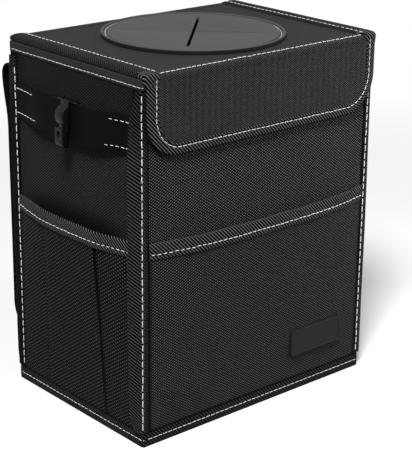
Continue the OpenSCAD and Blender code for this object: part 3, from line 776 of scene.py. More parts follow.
cloth_out = 0.9
back = pocket_bow(28.4, 48.15, *pocket_sizes["front"]) + cloth_out
patch = pad("front", 52.4, 38.4, 48, 19.5, 2.0,
            [(0.0, back - 1.2), (0.0, back + 1.0), (0.35, back + 1.4), (1.5, back + 1.4),
             (1.8, back + 1.05), (9.0, back + 1.05)])
piece("bare_patch", "bin", "patch", patch_rubber, patch, "label_patch")
fastener = {"x": 0, "z": 217.8, "w": 90, "h": 25, "r": 2.5}
loops_pad = pad("front", **fastener, levels=[(0, 0.0), (0, 0.5), (0.6, 0.7), (4, 0.72), (10, 0.7)])
piece("loop_pad", "bin", "touch_fastener", fastener_pile, loops_pad, "loop_patch")
hooks_pad = pad("front", **fastener, levels=[(0, 1.5), (0, 1.2), (0.6, 1.02), (4, 1.0), (10, 1.0)])
piece("hook_pad", "flap", "touch_fastener", fastener_pile, hooks_pad, "hook_patch")
print("pads:", made[-3:])

# %% [markdown]
# ## Side straps and hooks
# A strap of webbing is sewn down at both ends and bows clear of the wall between them. A
# moulded hook straddles it and can slide. Its outline is drawn as depth against height:
# a plate behind the strap, a bridge over the top, a rounded lobe in front, and a block that
# hangs below the lobe by a neck, with a slot between them that takes a bag's handles. A
# wider bar on top lies along the strap and keeps the hook upright.

# %% Side straps
strap_w, strap_t, strap_gap = 25.0, 1.5, 4.8


def strap_out(x):
    return strap_gap * ease((side_half - np.abs(x)) / (side_half - 26.0))


def strap_rise(face, x):
    """The strap's front end is sewn a little higher than the rest."""
    return 1.9 * ease(((x if face == "left" else -x) - 14) / 40)


def side_strap(name, face, node):
    xs = np.linspace(*side_ends(face, side_half), 97)
    sections, places = [], []
    for x in xs:
        out, slope = strap_out(x), (strap_out(x + 0.5) - strap_out(x - 0.5))
        normal = np.array([-slope, 1.0]) / math.hypot(slope, 1.0)
        sag = strap_rise(face, x) - 0.5 * ease((side_half - abs(x)) / 40)
        edge = strap_w / 2
        ring = rounded([(0, -edge), (strap_t, -edge), (strap_t, edge), (0, edge)], 0.55)
        around = lengths_along(np.concatenate([ring, ring[:1]]))
        sections.append(stack(x + normal[0] * ring[:, 0], out + normal[1] * ring[:, 0],
                              strap_z + ring[:, 1] + sag))
        places.append(stack(x, around))
    return piece(name, "bin", "webbing", strap_web, skin(on_face(face, np.array(sections)), places), node)


side_strap("left_side_strap", "left", "left_strap")
side_strap("right_side_strap", "right", "right_strap")
print("straps:", made[-2:])

# %% Hooks
def bar(low, high, cut=0.6):
    """A moulded bar between two corners of a box, with its long edges rounded."""
    low, high = np.array(low, float), np.array(high, float)
    size = high - low
    axis = int(np.argmax(size))
    a, b = [i for i in range(3) if i != axis]
    ring = rounded([(low[a], low[b]), (high[a], low[b]), (high[a], high[b]), (low[a], high[b])], cut)
    middle = ring.mean(axis=0)
    sections = []
    for share, inset in ((0.0, 0.35), (0.02, 0.1), (0.05, 0.0), (0.95, 0.0), (0.98, 0.1), (1.0, 0.35)):
        loop = np.zeros((len(ring), 3))
        shrink = ring - (ring - middle) / np.linalg.norm(ring - middle, axis=1)[:, None] * inset
        loop[:, a], loop[:, b], loop[:, axis] = shrink[:, 0], shrink[:, 1], low[axis] + size[axis] * share
        sections.append(loop)
    uv = stack(np.arange(6.0)[:, None], np.arange(len(ring) + 1.0)[None, :])
    return skin(sections, uv)


def hook_outline():
    """The hook from the side, as (out, up from the strap's middle), like its solid."""
    back, channel, front, inner, outer = 2.4, 4.0, 7.1, 8.7, 14.0
    seat, top, lobe_low, block_low = 12.8, 14.2, -3.2, -16.4
    corner = [(outer - 3.6 * (1 - math.cos(math.radians(a))), block_low + 3.6 * (1 + math.sin(math.radians(a))))
              for a in range(-90, 1, 10)]
    lobe = [(front + 6.6 * math.cos(math.radians(a)), 3.9 + 7.1 * math.sin(math.radians(a)))
            for a in np.linspace(-61, 75, 24)]
    return ([(back, -11.0), (channel, -11.0), (channel, seat), (front, seat),
             (front, lobe_low), (inner, lobe_low), (inner, block_low)] + corner
            + [(outer, -4.1), (outer - 0.8, lobe_low), (inner + 1.6, -5.0)] + lobe
            + [(inner, 11.0), (inner, top - 0.8), (inner - 0.8, top), (back + 0.8, top), (back, top - 0.8)])


def hook(name, face, node):
    outline = np.array(hook_outline())
    rest = 2.5 if face == "left" else -2.5
    work = bmesh.new()
    ends = []
    for x in (rest - 4.0, rest + 4.0):
        points = on_face(face, stack(x, outline[:, 0], outline[:, 1] + strap_z)) * MM
        ends.append([work.verts.new(p) for p in points])
    count = len(outline)
    for j in range(count):
        work.faces.new((ends[0][j], ends[0][(j + 1) % count], ends[1][(j + 1) % count], ends[1][j]))
    work.faces.new(ends[0][::-1])
    work.faces.new(ends[1])
    bmesh.ops.recalc_face_normals(work, faces=work.faces)
    mesh = bpy.data.meshes.new(name)
    work.to_mesh(mesh)
    work.free()
    obj = bpy.data.objects.new(name, mesh)
    bpy.context.scene.collection.objects.link(obj)
    cut = bpy.data.objects.new(name + "_eye", bpy.data.meshes.new(name + "_eye"))
    bpy.context.scene.collection.objects.link(cut)
    work = bmesh.new()
    ring = [(rest + 1.4 * math.cos(t), (-6.7 if math.sin(t) >= 0 else -8.1) + 1.4 * math.sin(t))
            for t in np.linspace(0, 2 * math.pi, 24, endpoint=False)]
    sides = [[work.verts.new(p * MM) for p in on_face(face, stack(np.array([r[0] for r in ring]), out,
              np.array([r[1] for r in ring]) + strap_z))] for out in (8.0, 15.5)]
    for j in range(24):
        work.faces.new((sides[0][j], sides[0][(j + 1) % 24], sides[1][(j + 1) % 24], sides[1][j]))
    work.faces.new(sides[0][::-1])
    work.faces.new(sides[1])
    bmesh.ops.recalc_face_normals(work, faces=work.faces)
    work.to_mesh(cut.data)
    work.free()
    hole = obj.modifiers.new("eye", "BOOLEAN")
    hole.object, hole.operation, hole.solver = cut, "DIFFERENCE", "EXACT"
    soft = obj.modifiers.new("soft edges", "BEVEL")
    soft.width, soft.segments, soft.limit_method, soft.angle_limit = 0.45 * MM, 3, "ANGLE", math.radians(50)
    obj.data = bpy.data.meshes.new_from_object(obj.evaluated_get(bpy.context.evaluated_depsgraph_get()))
    obj.modifiers.clear()
    bpy.data.objects.remove(cut)
    obj.data.shade_smooth()
    obj.data.set_sharp_from_angle(angle=math.radians(50))
    obj.data.materials.clear()
    obj.data.materials.append(hook_plastic)
    slot = np.array([[rest - 10, 3.2, 12.8 + strap_z], [rest + 10, 7.1, 14.0 + strap_z]])
    over, under = on_face(face, slot)
    points, faces, _ = bar(np.minimum(over, under), np.maximum(over, under), 0.4)
    work = bmesh.new()
    work.from_mesh(obj.data)
    corners = [work.verts.new(p * MM) for p in points]
    for face_ in faces:
        work.faces.new([corners[i] for i in face_]).smooth = True
    bmesh.ops.recalc_face_normals(work, faces=work.faces)
    work.to_mesh(obj.data)
    work.free()
    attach(obj, node)
    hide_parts(node)
    made.append((name, len(obj.data.polygons)))


hook("left_strap_hook", "left", "left_hook")
hook("right_strap_hook", "right", "right_hook")
print("hooks:", made[-2:])

# %% [markdown]
# ## Hanging strap
# At the back one length of webbing is sewn down near both top corners, arches over, and
# hangs as one loop that goes over a seat's headrest. The strip keeps its width, so its
# path carries a direction for its width as well.

# %% Hanging strap and slider
def hanging_path():
    """(point, width direction) pairs for the left half, in the back wall's measures."""
    path = []
    x, reach, hang_out = 86.5, 6.6, 8.75
    for z in np.linspace(198, 221, 8):
        path.append(((x, 0.8, z), (-1, 0, 0)))
    for a in np.linspace(172, 8, 15):
        t = math.radians(a)
        path.append(((x, 0.75 + reach * (1 + math.cos(t)), 222 + 1.15 * reach * math.sin(t)), (-1, 0, 0)))
    far = 0.75 + 2 * reach
    for z in np.linspace(220, 186, 10):
        path.append(((x, far + (hang_out - far) * float(ease((222 - z) / 36)), z), (-1, 0, 0)))
    for z in np.linspace(182, 60, 26):
        lean = 1.1 * math.sin((z - 56) / 126 * math.pi)
        path.append(((x, hang_out + 0.5 * lean, z), (-1, 0.05 * lean, 0)))
    for a in np.linspace(0, 90, 15):
        t = math.radians(a)
        tilt = 0.16 * math.sin(2 * t)
        path.append(((x - 27.5 + 27.5 * math.cos(t), hang_out + 9 * tilt, 56 - 27.5 * math.sin(t)),
                     (-math.cos(t), tilt, math.sin(t))))
    for x2 in np.linspace(52, 0, 9)[:-1]:
        path.append(((x2, hang_out, 28.5), (0, 0, 1)))
    return path


half_path = hanging_path()
other_half = [((-p[0], p[1], p[2]), (-w[0], w[1], w[2])) for p, w in half_path[::-1]]
full_path = half_path + [((0, half_path[-1][0][1], 28.5), (0, 0, 1))] + other_half
points = np.array([p for p, _ in full_path], float)
widths = np.array([w for _, w in full_path], float)
widths /= np.linalg.norm(widths, axis=1)[:, None]
tangents = np.gradient(points, axis=0)
tangents /= np.linalg.norm(tangents, axis=1)[:, None]
normals = np.cross(tangents, widths)
normals /= np.linalg.norm(normals, axis=1)[:, None]
edge = rounded([(-strap_w / 2, -0.75), (strap_w / 2, -0.75), (strap_w / 2, 0.75), (-strap_w / 2, 0.75)], 0.55)
run = lengths_along(points)
around = lengths_along(np.concatenate([edge, edge[:1]]))
sections = points[:, None] + widths[:, None] * edge[None, :, :1] + normals[:, None] * edge[None, :, 1:]
shape = skin(on_face("back", sections), stack(run[:, None], around[None, :]))
piece("hanging_web", "bin", "webbing", strap_web, shape, "hanging_strap")


back_y, front_y, mid_x, reach_x, thick = 78.2, 80.3, 86.5, 12.8, 1.8
bars = [bar((x, back_y - thick, 139), (x + 3, front_y + thick, 161))
        for x in (mid_x - reach_x - 3, mid_x + reach_x)]
bars += [bar((mid_x - reach_x - 1, back_y - thick, z), (mid_x + reach_x + 1, back_y, z + 3))
         for z in (139, 158)]
bars += [bar((mid_x - reach_x - 1, front_y, 148.5), (mid_x + reach_x + 1, front_y + thick, 151.5))]
piece("length_slider", "slider", "hook_plastic", hook_plastic, join(*bars), "strap_slider")
print("strap and slider:", made[-2:])

# %% [markdown]
# ## Inside
# The liner is thin waterproof film that lines the box from the rim down. It creases where
# it is pushed into the corners.

# %% Liner
def liner_shape():
    low, film = 3.4, 0.6

    def ring(inset, shrink=1.0):
        flat = box_ring(-2.6 - inset, 3.5 + 2.6, 24, 5)
        return flat * shrink

    sections = []
    for share in (0.02, 0.5, 0.97):
        r = ring(0, share)
        sections.append(stack(r[:, 0], r[:, 1], low))
    for z in np.linspace(low + 0.5, wall_top, 12):
        r = ring(0)
        sections.append(stack(r[:, 0], r[:, 1], z))
    index = np.arange(len(ring(0)))
    for z in np.linspace(wall_top, low + 1.2, 30):
        crease = 0.6 * (0.5 + 0.5 * np.sin(index * 0.8 + z / 17) * np.sin(z / 23 + index * 0.31))
        crease = crease * ease((wall_top - 2 - z) / 20)
        a, b = ring(film), ring(film + 1.0)
        r = a + (b - a) * crease[:, None]
        sections.append(stack(r[:, 0], r[:, 1], z))
    for share in (0.985, 0.5, 0.02):
        r = ring(film, share)
        sections.append(stack(r[:, 0], r[:, 1], low + film + 0.2))
    around = np.arange(len(index) + 1.0) * 5
    return skin(sections, stack(around[None, :], (np.arange(len(sections)) * 6.0)[:, None]))


film = piece("liner_bag", "bin", "lining", liner_film, liner_shape(), "liner")
print("liner:", made[-1])

# %% [markdown]
# ## Lid
# The lid is a board between the top cloth and a lining, with a round hole. Its sheets are
# skinned from the hole's edge out to the lid's straight sides.

# %% Lid cloth and lining
lid_x, lid_front_y, lid_back_y, hole_r = 100.7, -71.4, 70.3, 56.05


def lid_sheet(low, high, inset, bottom_wave, top_wave):
    steps = 176
    angles = np.linspace(0, 2 * math.pi, steps, endpoint=False)
    corner_angles = [math.atan2(y, x) % (2 * math.pi) for x in (-1, 1) for y in (-1, 1)
                     for x, y in [(x * (lid_x - inset), (lid_back_y if y > 0 else -lid_front_y) * y)]]
    for c in corner_angles:
        angles[np.argmin(abs(angles - c))] = c
    sections, places = [], []
    for a in angles:
        c, s = math.cos(a), math.sin(a)
        far_x = (lid_x - inset) / abs(c) if abs(c) > 1e-9 else 1e9
        far_y = ((lid_back_y if s > 0 else -lid_front_y) - inset) / abs(s) if abs(s) > 1e-9 else 1e9
        rs = hole_r + (min(far_x, far_y) - hole_r) * np.linspace(0, 1, 9)
        x, y = rs * c, rs * s
        free = ease((rs - 64) / 12) * ease((min(far_x, far_y) - 14 - rs) / 8)
        top = stack(x, y, high + top_wave * ripple(x, y, 0.8) * free)
        sunk = bottom_wave * abs(ripple(x, y, 2.0)) * ease((rs - 58) / 6)
        low_side = stack(x, y, low - sunk * ease((min(far_x, far_y) - 4 - rs) / 5))
        loop = np.concatenate([top, low_side[::-1]])
        sections.append(loop)
        places.append(np.concatenate([loop[:, :2], loop[:1, :2]]))
    places.append(places[0])
    return skin(sections, places, closed=True)


lid_cloth = piece("lid_cloth", "lid", "outer_fabric", lid_weave,
                  lid_sheet(249.4, lid_top, 0, 0, 0.2), "lid_panel")
lid_under = piece("lid_under_cloth", "lid", "lining", lining_cloth,
                  lid_sheet(247.8, 248.2, 0.5, 0.12, 0), "lid_lining")
print("lid sheets:", made[-2:])

# %% [markdown]
# ## Disc
# The disc is moulded in grey rubber: a raised rim, a groove for its stitches, and two
# slits that cross. It is turned from a profile, and the slits are cut through it. The side
# of its rim is painted darker, for shade that the lamps alone don't give.

# %% Slit disc
def disc():
    profile = rounded([(0.0, lid_top + 2.4), (0.0, lid_top + 0.02),
                       (62.75, lid_top + 0.02), (62.75, lid_top + 3.0),
                       (60.75, lid_top + 3.0), (60.75, lid_top + 1.7),
                       (58.75, lid_top + 1.7), (58.75, lid_top + 2.45)],
                      [0, 0, 0.3, 0.7, 0.5, 0.4, 0.4, 0.5], 3)
    profile = profile[2:] if profile[1][0] == 0 else profile
    steps = 192
    work = bmesh.new()
    rings = [[work.verts.new((r * math.cos(t) * MM, r * math.sin(t) * MM, z * MM))
              for t in np.linspace(0, 2 * math.pi, steps, endpoint=False)] for r, z in profile]
    for a, b in zip(rings[:-1], rings[1:]):
        for j in range(steps):
            work.faces.new((a[j], a[(j + 1) % steps], b[(j + 1) % steps], b[j]))
    work.faces.new(rings[0])
    work.faces.new(rings[-1])
    bmesh.ops.recalc_face_normals(work, faces=work.faces)
    mesh = bpy.data.meshes.new("disc_rubber")
    work.to_mesh(mesh)
    work.free()
    obj = bpy.data.objects.new("slit_disc_rubber", mesh)
    bpy.context.scene.collection.objects.link(obj)
    cutters = []
    for k, turn_deg in enumerate((45, -45)):
        cut = bpy.data.objects.new(f"slit_{k}", bpy.data.meshes.new(f"slit_{k}"))
        bpy.context.scene.collection.objects.link(cut)
        work = bmesh.new()
        outline = rounded([(-47.5, -1), (47.5, -1), (47.5, 1), (-47.5, 1)], 0.9)
        c, s = math.cos(math.radians(turn_deg)), math.sin(math.radians(turn_deg))
        sides = [[work.verts.new(((x * c - y * s) * MM, (x * s + y * c) * MM, z * MM)) for x, y in outline]
                 for z in (lid_top - 1, lid_top + 5)]
        for j in range(len(outline)):
            j2 = (j + 1) % len(outline)
            work.faces.new((sides[0][j], sides[0][j2], sides[1][j2], sides[1][j]))
        work.faces.new(sides[0][::-1])
        work.faces.new(sides[1])
        bmesh.ops.recalc_face_normals(work, faces=work.faces)
        work.to_mesh(cut.data)
        work.free()
        hole = obj.modifiers.new(f"slit {k}", "BOOLEAN")
        hole.object, hole.operation, hole.solver = cut, "DIFFERENCE", "EXACT"
        cutters.append(cut)
    soft = obj.modifiers.new("soft edges", "BEVEL")
    soft.width, soft.segments, soft.limit_method, soft.angle_limit = 0.3 * MM, 2, "ANGLE", math.radians(60)
    obj.data = bpy.data.meshes.new_from_object(obj.evaluated_get(bpy.context.evaluated_depsgraph_get()))
    obj.modifiers.clear()
    for cut in cutters:
        bpy.data.objects.remove(cut)
    obj.data.shade_smooth()
    obj.data.set_sharp_from_angle(angle=math.radians(35))
    obj.data.materials.clear()
    obj.data.materials.append(disc_rubber)
    # Painted shade on the outside of the rim.
    points = np.array([vertex.co for vertex in obj.data.vertices]) / MM
    outside = ease((np.hypot(points[:, 0], points[:, 1]) - 62.0) / 0.5)
    outside = outside * ease((lid_top + 3.0 - points[:, 2]) / 0.6)
    shade = obj.data.attributes.new("painted_shade", "FLOAT", "POINT")
    shade.data.foreach_set("value", (0.85 * outside).astype(np.float32))
    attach(obj, "lid")
    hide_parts("slit_disc")
    made.append(("slit_disc_rubber", len(obj.data.polygons)))


disc()
print("disc:", made[-1])

# %% [markdown]
# ## Tape round the lid and the flap
# One tape runs forward along the lid's side, over the front corner, down the flap's side,
# round its lower corners and back up. Where it passes the corner the real tape bends with the
# flap; that short stretch is a piece of its own, tied to no body, that blends between lid and flap.

# %% Lid side tapes
lid_edge = [(87.8, 0.05), (88.2, 1.1), (89.9, 1.75), (91.2, 1.55), (94.0, 2.0), (97.6, 2.0), (100.6, 1.45),
            (101.8, 0.1), (101.7, -1.9), (100.8, -1.9), (100.8, 0.05)]
lid_edge_cuts = [0, 0.6, 0.8, 0.8, 1.2, 1.4, 1.4, 1.0, 0.4, 0, 0]


def flap_edge(width):
    """The same tape on the flap, flatter and narrower, out to the flap's edge."""
    inner = 101.2 - width
    return [(inner, 0.02), (inner + 0.2, 0.5), (inner + 1.6, 0.72), (inner + 2.6, 0.5), (inner + 4.0, 0.75),
            (98.6, 0.75), (100.6, 0.45), (101.3, -0.5), (101.1, -1.9), (100.4, -1.95), (100.2, -0.3)]


def lid_side_tape(name, side, node):
    ys = np.linspace(lid_back_y + 0.4, -68.0, 71)
    sections, places = [], []
    for y in ys:
        end = float(ease((lid_back_y + 0.4 - y) / 1.6))
        ring = rounded(lid_edge, lid_edge_cuts, 2)
        high = np.where(ring[:, 1] > 0, ring[:, 1] * (0.6 + 0.4 * end), ring[:, 1])
        wide = ring[:, 0] - 0.8 * (1 - end) * (ring[:, 0] > 97) + 0.15 * math.sin(y / 11)
        around = lengths_along(np.concatenate([ring, ring[:1]]))
        sections.append(stack(side * wide, y, lid_top + high))
        places.append(stack(around * side, y))
    return piece(name, "lid", "twill_tape", lid_twill, skin(sections, places), node)


lid_side_tape("lid_left_edge", -1, "lid_left_tape")
lid_side_tape("lid_right_edge", 1, "lid_right_tape")


def corner_path(count=15):
    """Base points and outward directions from the lid's top over to the flap's face."""
    path = [((y, lid_top), (0.0, 1.0)) for y in (-66.8, -68.5, -70.2)]
    for a in np.linspace(90, 180, count):
        t = math.radians(a)
        c, s = math.cos(t), math.sin(t)
        path.append(((-71.4 + 2.2 * c, lid_top - 2.2 + 2.2 * s), (c, s)))
    path += [((-flap_face, z), (-1.0, 0.0)) for z in (246.4, 245.0, 243.6)]
    return path


def corner_tape(name, side, width):
    path = corner_path()
    run = lengths_along([p for p, _ in path])
    sections, places = [], []
    for ((y, z), (ny, nz)), u in zip(path, run):
        t = float(ease(u / run[-1]))
        key = np.array(lid_edge) * (1 - t) + np.array(flap_edge(width)) * t
        key[:, 0] += 0.3 * math.sin(math.pi * t)
        ring = rounded(key, lid_edge_cuts, 2)
        grown = ring[:, 1] + 0.06
        around = lengths_along(np.concatenate([ring, ring[:1]]))
        sections.append(stack(side * (ring[:, 0] + 0.05), y + ny * grown, z + nz * grown))
        places.append(stack(ring[np.r_[0:len(ring), 0], 0] * side, 250 - u))
    obj = piece(name, None, "twill_tape", edge_twill, skin(sections, places))
    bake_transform(obj)
    return obj


corner_tape("left_corner_edge", -1, 11.4)
corner_tape("right_corner_edge", 1, 8.3)
print("lid tapes:", made[-4:])

# %% [markdown]
# The flap's own tape follows its outline. Its ribs keep one slant across the left corner
# and turn with the tape round the right one, as they do on the real flap.

# %% Flap tape
flap_half, flap_low, flap_r, flap_high = 101.2, 196.0, 27.0, 248.0


def flap_path(inset, top=245.2):
    """Points and inward directions round the flap's edge, from top left to top right."""
    out = []
    low, x, r = flap_low, flap_half, flap_r
    for z in np.linspace(top, low + r, 22)[:-1]:
        out.append(((-x, z), (1.0, 0.0)))
    for a in np.linspace(180, 270, 25):
        t = math.radians(a)
        out.append(((-x + r + r * math.cos(t), low + r + r * math.sin(t)), (-math.cos(t), -math.sin(t))))
    for px in np.linspace(-x + r, x - r, 45)[1:-1]:
        out.append(((px, low), (0.0, 1.0)))
    for a in np.linspace(270, 360, 25):
        t = math.radians(a)
        out.append(((x - r + r * math.cos(t), low + r + r * math.sin(t)), (-math.cos(t), -math.sin(t))))
    for z in np.linspace(low + r, top, 22)[1:]:
        out.append(((x, z), (-1.0, 0.0)))
    return [((p[0] + d[0] * inset, p[1] + d[1] * inset), d) for p, d in out]


def tape_width(x):
    """The tape is folded wider on the flap's left side than below and on the right."""
    return float(np.interp(x, [-flap_half, 6 - flap_half, 24 - flap_half, flap_half - 24, flap_half],
                           [11.4, 10.4, 8.3, 8.2, 8.3]))


def flap_tape():
    path = flap_path(0)
    points = np.array([p for p, _ in path])
    inward = np.array([d for _, d in path])
    run = lengths_along(points)
    middle = run[len(run) // 2]
    cuts = [0, 0.3, 0.8, 0.6, 0.8, 1.0, 0.9, 0.8, 0.8, 1.0, 0, 0, 0.5, 0.3, 0.3, 0.5]
    sections, places, painted_shade = [], [], []
    for p, d, s in zip(points, inward, run):
        w = tape_width(p[0])
        key = [(w, 0.03), (w - 0.3, 0.5), (w - 1.6, 0.74), (w - 2.6, 0.5), (w - 3.9, 0.76),
               (2.4, 0.78), (0.6, 0.45),
               (0.0, -0.6), (0.6, -1.9), (3.0, -1.98), (w - 0.2, -1.95),
               (w - 0.1, -1.62), (3.0, -1.62), (1.4, -1.3),
               (1.4, -0.3), (3.0, 0.03)]
        ring = rounded(key, cuts, 2)
        q = p + d * ring[:, :1]
        sections.append(stack(q[:, 0], -flap_face - ring[:, 1], q[:, 1]))
        inner = np.concatenate([ring[:, 0], ring[:1, 0]])
        # Painted shade: dark lines along the tape's outer and inner edges, and next to its row of stitches.
        shade_beside_stitches = (ring[:, 0] > w - 2.3) & (ring[:, 0] < w - 1.4) & (ring[:, 1] > 0)
        shade_at_edges = 0.85 * (ring[:, 0] < 0.75) + 0.7 * (abs(ring[:, 0] - w) < 0.25)
        painted_shade.append(np.clip(shade_at_edges + 0.7 * shade_beside_stitches, 0, 0.9))
        if p[0] <= 0:
            places.append(np.concatenate([q, q[:1]]))
        else:
            places.append(stack(s - middle, flap_low + inner))
    shape = skin(sections, places)
    return piece("flap_edge", "flap", "twill_tape", edge_twill, shape, "flap_tape", painted_shade=painted_shade)


flap_tape()
print("flap tape:", made[-1])

# %% [markdown]
# ## Flap cloth and the two folds
# The flap hangs from the lid's front edge. Its cloth and lining are sheets with rounded
# lower corners. Two more strips are folds, built in one shape and tied to no body: one over
# the lid's front edge, where the cloth bends as the flap is lifted, and one at the back, where
# the lid's own cloth is the hinge.

# %% Flap sheets
def flap_sheet(front, back, wavy):
    inset = 0.9
    low, x, r = flap_low + inset, flap_half - inset, flap_r - inset
    round_part = low + r - r * np.cos(np.linspace(0, math.pi / 2, 20))
    zs = np.concatenate([round_part, np.linspace(low + r, flap_high, 26)[1:]])
    rows = []
    for z in zs:
        cut = r - math.sqrt(max(0.0, r * r - max(0.0, low + r - z) ** 2))
        rows.append(stack(np.linspace(-1, 1, 65) * (x - cut), 0.0, z))
    grid = np.array(rows)
    across, up = grid[..., 0].copy(), grid[..., 2].copy()
    free = ease((x - 12 - abs(across)) / 10) * ease((up - low - 12) / 8) * ease((flap_high - 5 - up) / 6)
    near = grid.copy()
    near[..., 1] = -front - wavy * (0.6 * np.sin(across / 4.6 + 0.8) + ripple(across, up, 2.2)) * free
    far = grid.copy()
    far[..., 1] = -back
    loops = np.concatenate([near, far[:, ::-1]], axis=1)
    place = np.concatenate([loops[..., [0, 2]], loops[:, :1][..., [0, 2]]], axis=1)
    return skin(loops, place, paired=True)


flap_cloth = piece("flap_cloth", "flap", "outer_fabric", flap_weave,
                   flap_sheet(flap_face, 72.6, 0.12), "flap_panel")
flap_back = piece("flap_under_cloth", "flap", "lining", lining_cloth,
                  flap_sheet(72.58, 72.0, 0.0), "flap_lining")


def fold_strip(path, half, thick, lift, far_z, sink):
    """A strip of cloth along X over a path of (y, z) points with outward directions. Its
    last end sinks into the cloth that it lies on, so that no ridge shows there."""
    xs = np.linspace(-half, half, 49)
    run = lengths_along([p for p, _ in path])
    sections, places = [], []
    for ((y, z), (ny, nz)), u in zip(path, run):
        down = sink * (1 - float(ease((run[-1] - u) / 2.4)))
        outer = stack(xs, y + ny * (lift + thick - down), z + nz * (lift + thick - down))
        inner = stack(xs[::-1], y + ny * (lift - down), z + nz * (lift - down))
        sections.append(np.concatenate([outer, inner]))
        row = np.concatenate([xs, xs[::-1], xs[:1]])
        places.append(stack(row, far_z + run[-1] - u))
    return skin(sections, places, paired=True)


front_fold = piece("front_fold", None, "outer_fabric", flap_weave,
                   fold_strip(corner_path(), 89.6, 0.3, 0.03, 243.6, 0.45))
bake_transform(front_fold)

back_path = [((half_d + 0.85, z), (1.0, 0.0)) for z in (235.5, 238.5, 241.5, 244.5, 246.6)]
for a in np.linspace(10, 90, 12):
    t = math.radians(a)
    back_path.append(((70.2 + 1.5 * math.cos(t), 248.0 + 2.05 * math.sin(t)), (math.cos(t), math.sin(t))))
back_path += [((y, lid_top + 0.05), (0.0, 1.0)) for y in (68.6, 67.0, 65.4)]
back_fold = piece("back_fold", None, "outer_fabric", lid_weave,
                  fold_strip(back_path, 87.2, 0.35, 0.05, 0.0, 0.3))
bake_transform(back_fold)
print("flap and folds:", made[-4:])

# %% [markdown]
# ## Boards
# The stiffener boards are rigid and keep their solids. They only get the look of grey
# pulp board, for where an edge shows.

# %% Boards keep their CAD solids
for node in ("base_board", "front_board", "back_board", "left_board", "right_board", "lid_board"):
    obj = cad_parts[node]
    obj.data.materials.clear()
    obj.data.materials.append(board_pulp)
print("boards done")

# %% [markdown]
# ## White thread
# Every seam is a row of the same stitch: a short bow of thick thread, whose ends go down
# into the cloth. A row is found by walking along its line at the stitch's pitch. Geometry
# nodes then put a stitch on every point, and the result is kept as one plain mesh for each
# body, so that the thread moves with what it is sewn to.

# %% Rows of stitches
rng = np.random.default_rng(7)
rows = {"bin": [], "lid": [], "flap": []}


def row(body, line, out, pitch=4.2, share=0.78, sideways=0.1, girth=0.52):
    """Adds stitches along a line of points, with one outward direction or one a point.
    Girth is the thread's thickness next to that of the thick thread in the corner seams."""
    line = np.asarray(line, float)
    out = np.broadcast_to(np.asarray(out, float), line.shape)
    run = lengths_along(line)
    count = max(1, int(round(run[-1] / pitch)))
    step = run[-1] / count
    for k in range(count):
        s, reach = (k + 0.5) * step, 0.5 * step * share
        ends = [np.array([np.interp(s + d, run, line[:, i]) for i in range(3)]) for d in (-reach, reach)]
        normal = np.array([np.interp(s, run, out[:, i]) for i in range(3)])
        normal /= np.linalg.norm(normal)
        along = ends[1] - ends[0]
        size = np.linalg.norm(along)
        side = np.cross(normal, along / size)
        middle = (ends[0] + ends[1]) / 2 + side * rng.normal(0, sideways)
        along = along / size + side * rng.normal(0, 0.03)
        rows[body].append((middle, along, normal, size * rng.uniform(0.95, 1.04), girth))


def wall_row(face, xs, outs, zs, **more):
    n = max(np.size(xs), np.size(outs), np.size(zs))
    line = stack(*[np.broadcast_to(v, n) for v in (xs, outs, zs)])
    origin = on_face(face, np.zeros(3))
    facing = on_face(face, np.array([0.0, 1.0, 0.0])) - origin
    row("bin", on_face(face, line), facing, **more)


zs = np.linspace(12.5, 238.5, 60)
thick = {"pitch": 5.7, "share": 0.76, "girth": 0.76}
row("bin", stack(-half_w - 1.15, -half_d - 1.15, zs), (-0.64, -0.77, 0), **thick)
wall_row("front", 98.6, 0.95, zs, **thick)
wall_row("left", -64.9, 0.85, zs[:-2], **thick)
wall_row("right", 64.9, 0.85, zs[:-2], **thick)
low = zs[:-2]
row("bin", stack(half_w + 0.65 + 0.98 * right_thick(low), -half_d + 2.6, low), (0.98, -0.2, 0), **thick)
for out, z in ((0.86, 5.1), (0.83, 242.5)):
    ring = box_ring(out, 1.2)
    ring = np.concatenate([ring, ring[:1]])
    facing = np.gradient(ring, axis=0)
    outward = stack(facing[:, 1], -facing[:, 0], 0)
    row("bin", stack(ring[:, 0], ring[:, 1], z), outward, sideways=0.05, girth=0.44)
for face, (half, bulge, step) in pocket_sizes.items():
    start, end = side_ends(face, half)
    xs = np.linspace(start + 0.5, end - 0.5, 90)
    wall_row(face, xs, pocket_line(xs, half, bulge, step) + 0.78, pocket_high - 7.2)
for face in ("left", "right"):
    for z, long_side in ((217.0, 20.0), (200.2, 23.5)):
        for side in (-1, 1):
            rear = side == (-1 if face == "left" else 1)
            xs = side * np.linspace(side_half - 0.5 + 2 * rear, side_half - long_side - 3 * rear, 20)
            wall_row(face, xs, strap_out(xs) + 1.53, z - 0.3 + strap_rise(face, xs), pitch=5.0, girth=0.5)
for side in (-1, 1):
    box = [(76.5, 200.5), (96.5, 200.5), (96.5, 219.5), (76.5, 219.5), (76.5, 200.5), (96.5, 219.5)]
    for (xa, za), (xb, zb) in list(zip(box[:-1], box[1:])) + [((96.5, 200.5), (76.5, 219.5))]:
        wall_row("back", side * np.linspace(xa, xb, 12), 1.58, np.linspace(za, zb, 12), pitch=3.6)
wall_row("back", np.linspace(-86, 86, 60), 1.25, 237.0)
print("stitches on the walls:", len(rows["bin"]))

# %% Stitches on the lid and the flap
for side in (-1, 1):
    ys = np.linspace(lid_back_y - 1.0, -71.0, 50)
    row("lid", stack(side * 91.0, ys, lid_top + 1.62), (0, 0, 1))
xs = np.linspace(-88.5, 88.5, 60)
row("lid", stack(xs, -72.1, lid_top + 0.3), (0, -0.5, 0.86))
turns = np.linspace(0, 2 * math.pi, 160)
ring = stack(59.75 * np.cos(turns), 59.75 * np.sin(turns), lid_top + 1.74)
row("lid", ring, (0, 0, 1), pitch=3.6, sideways=0.03, girth=0.4)


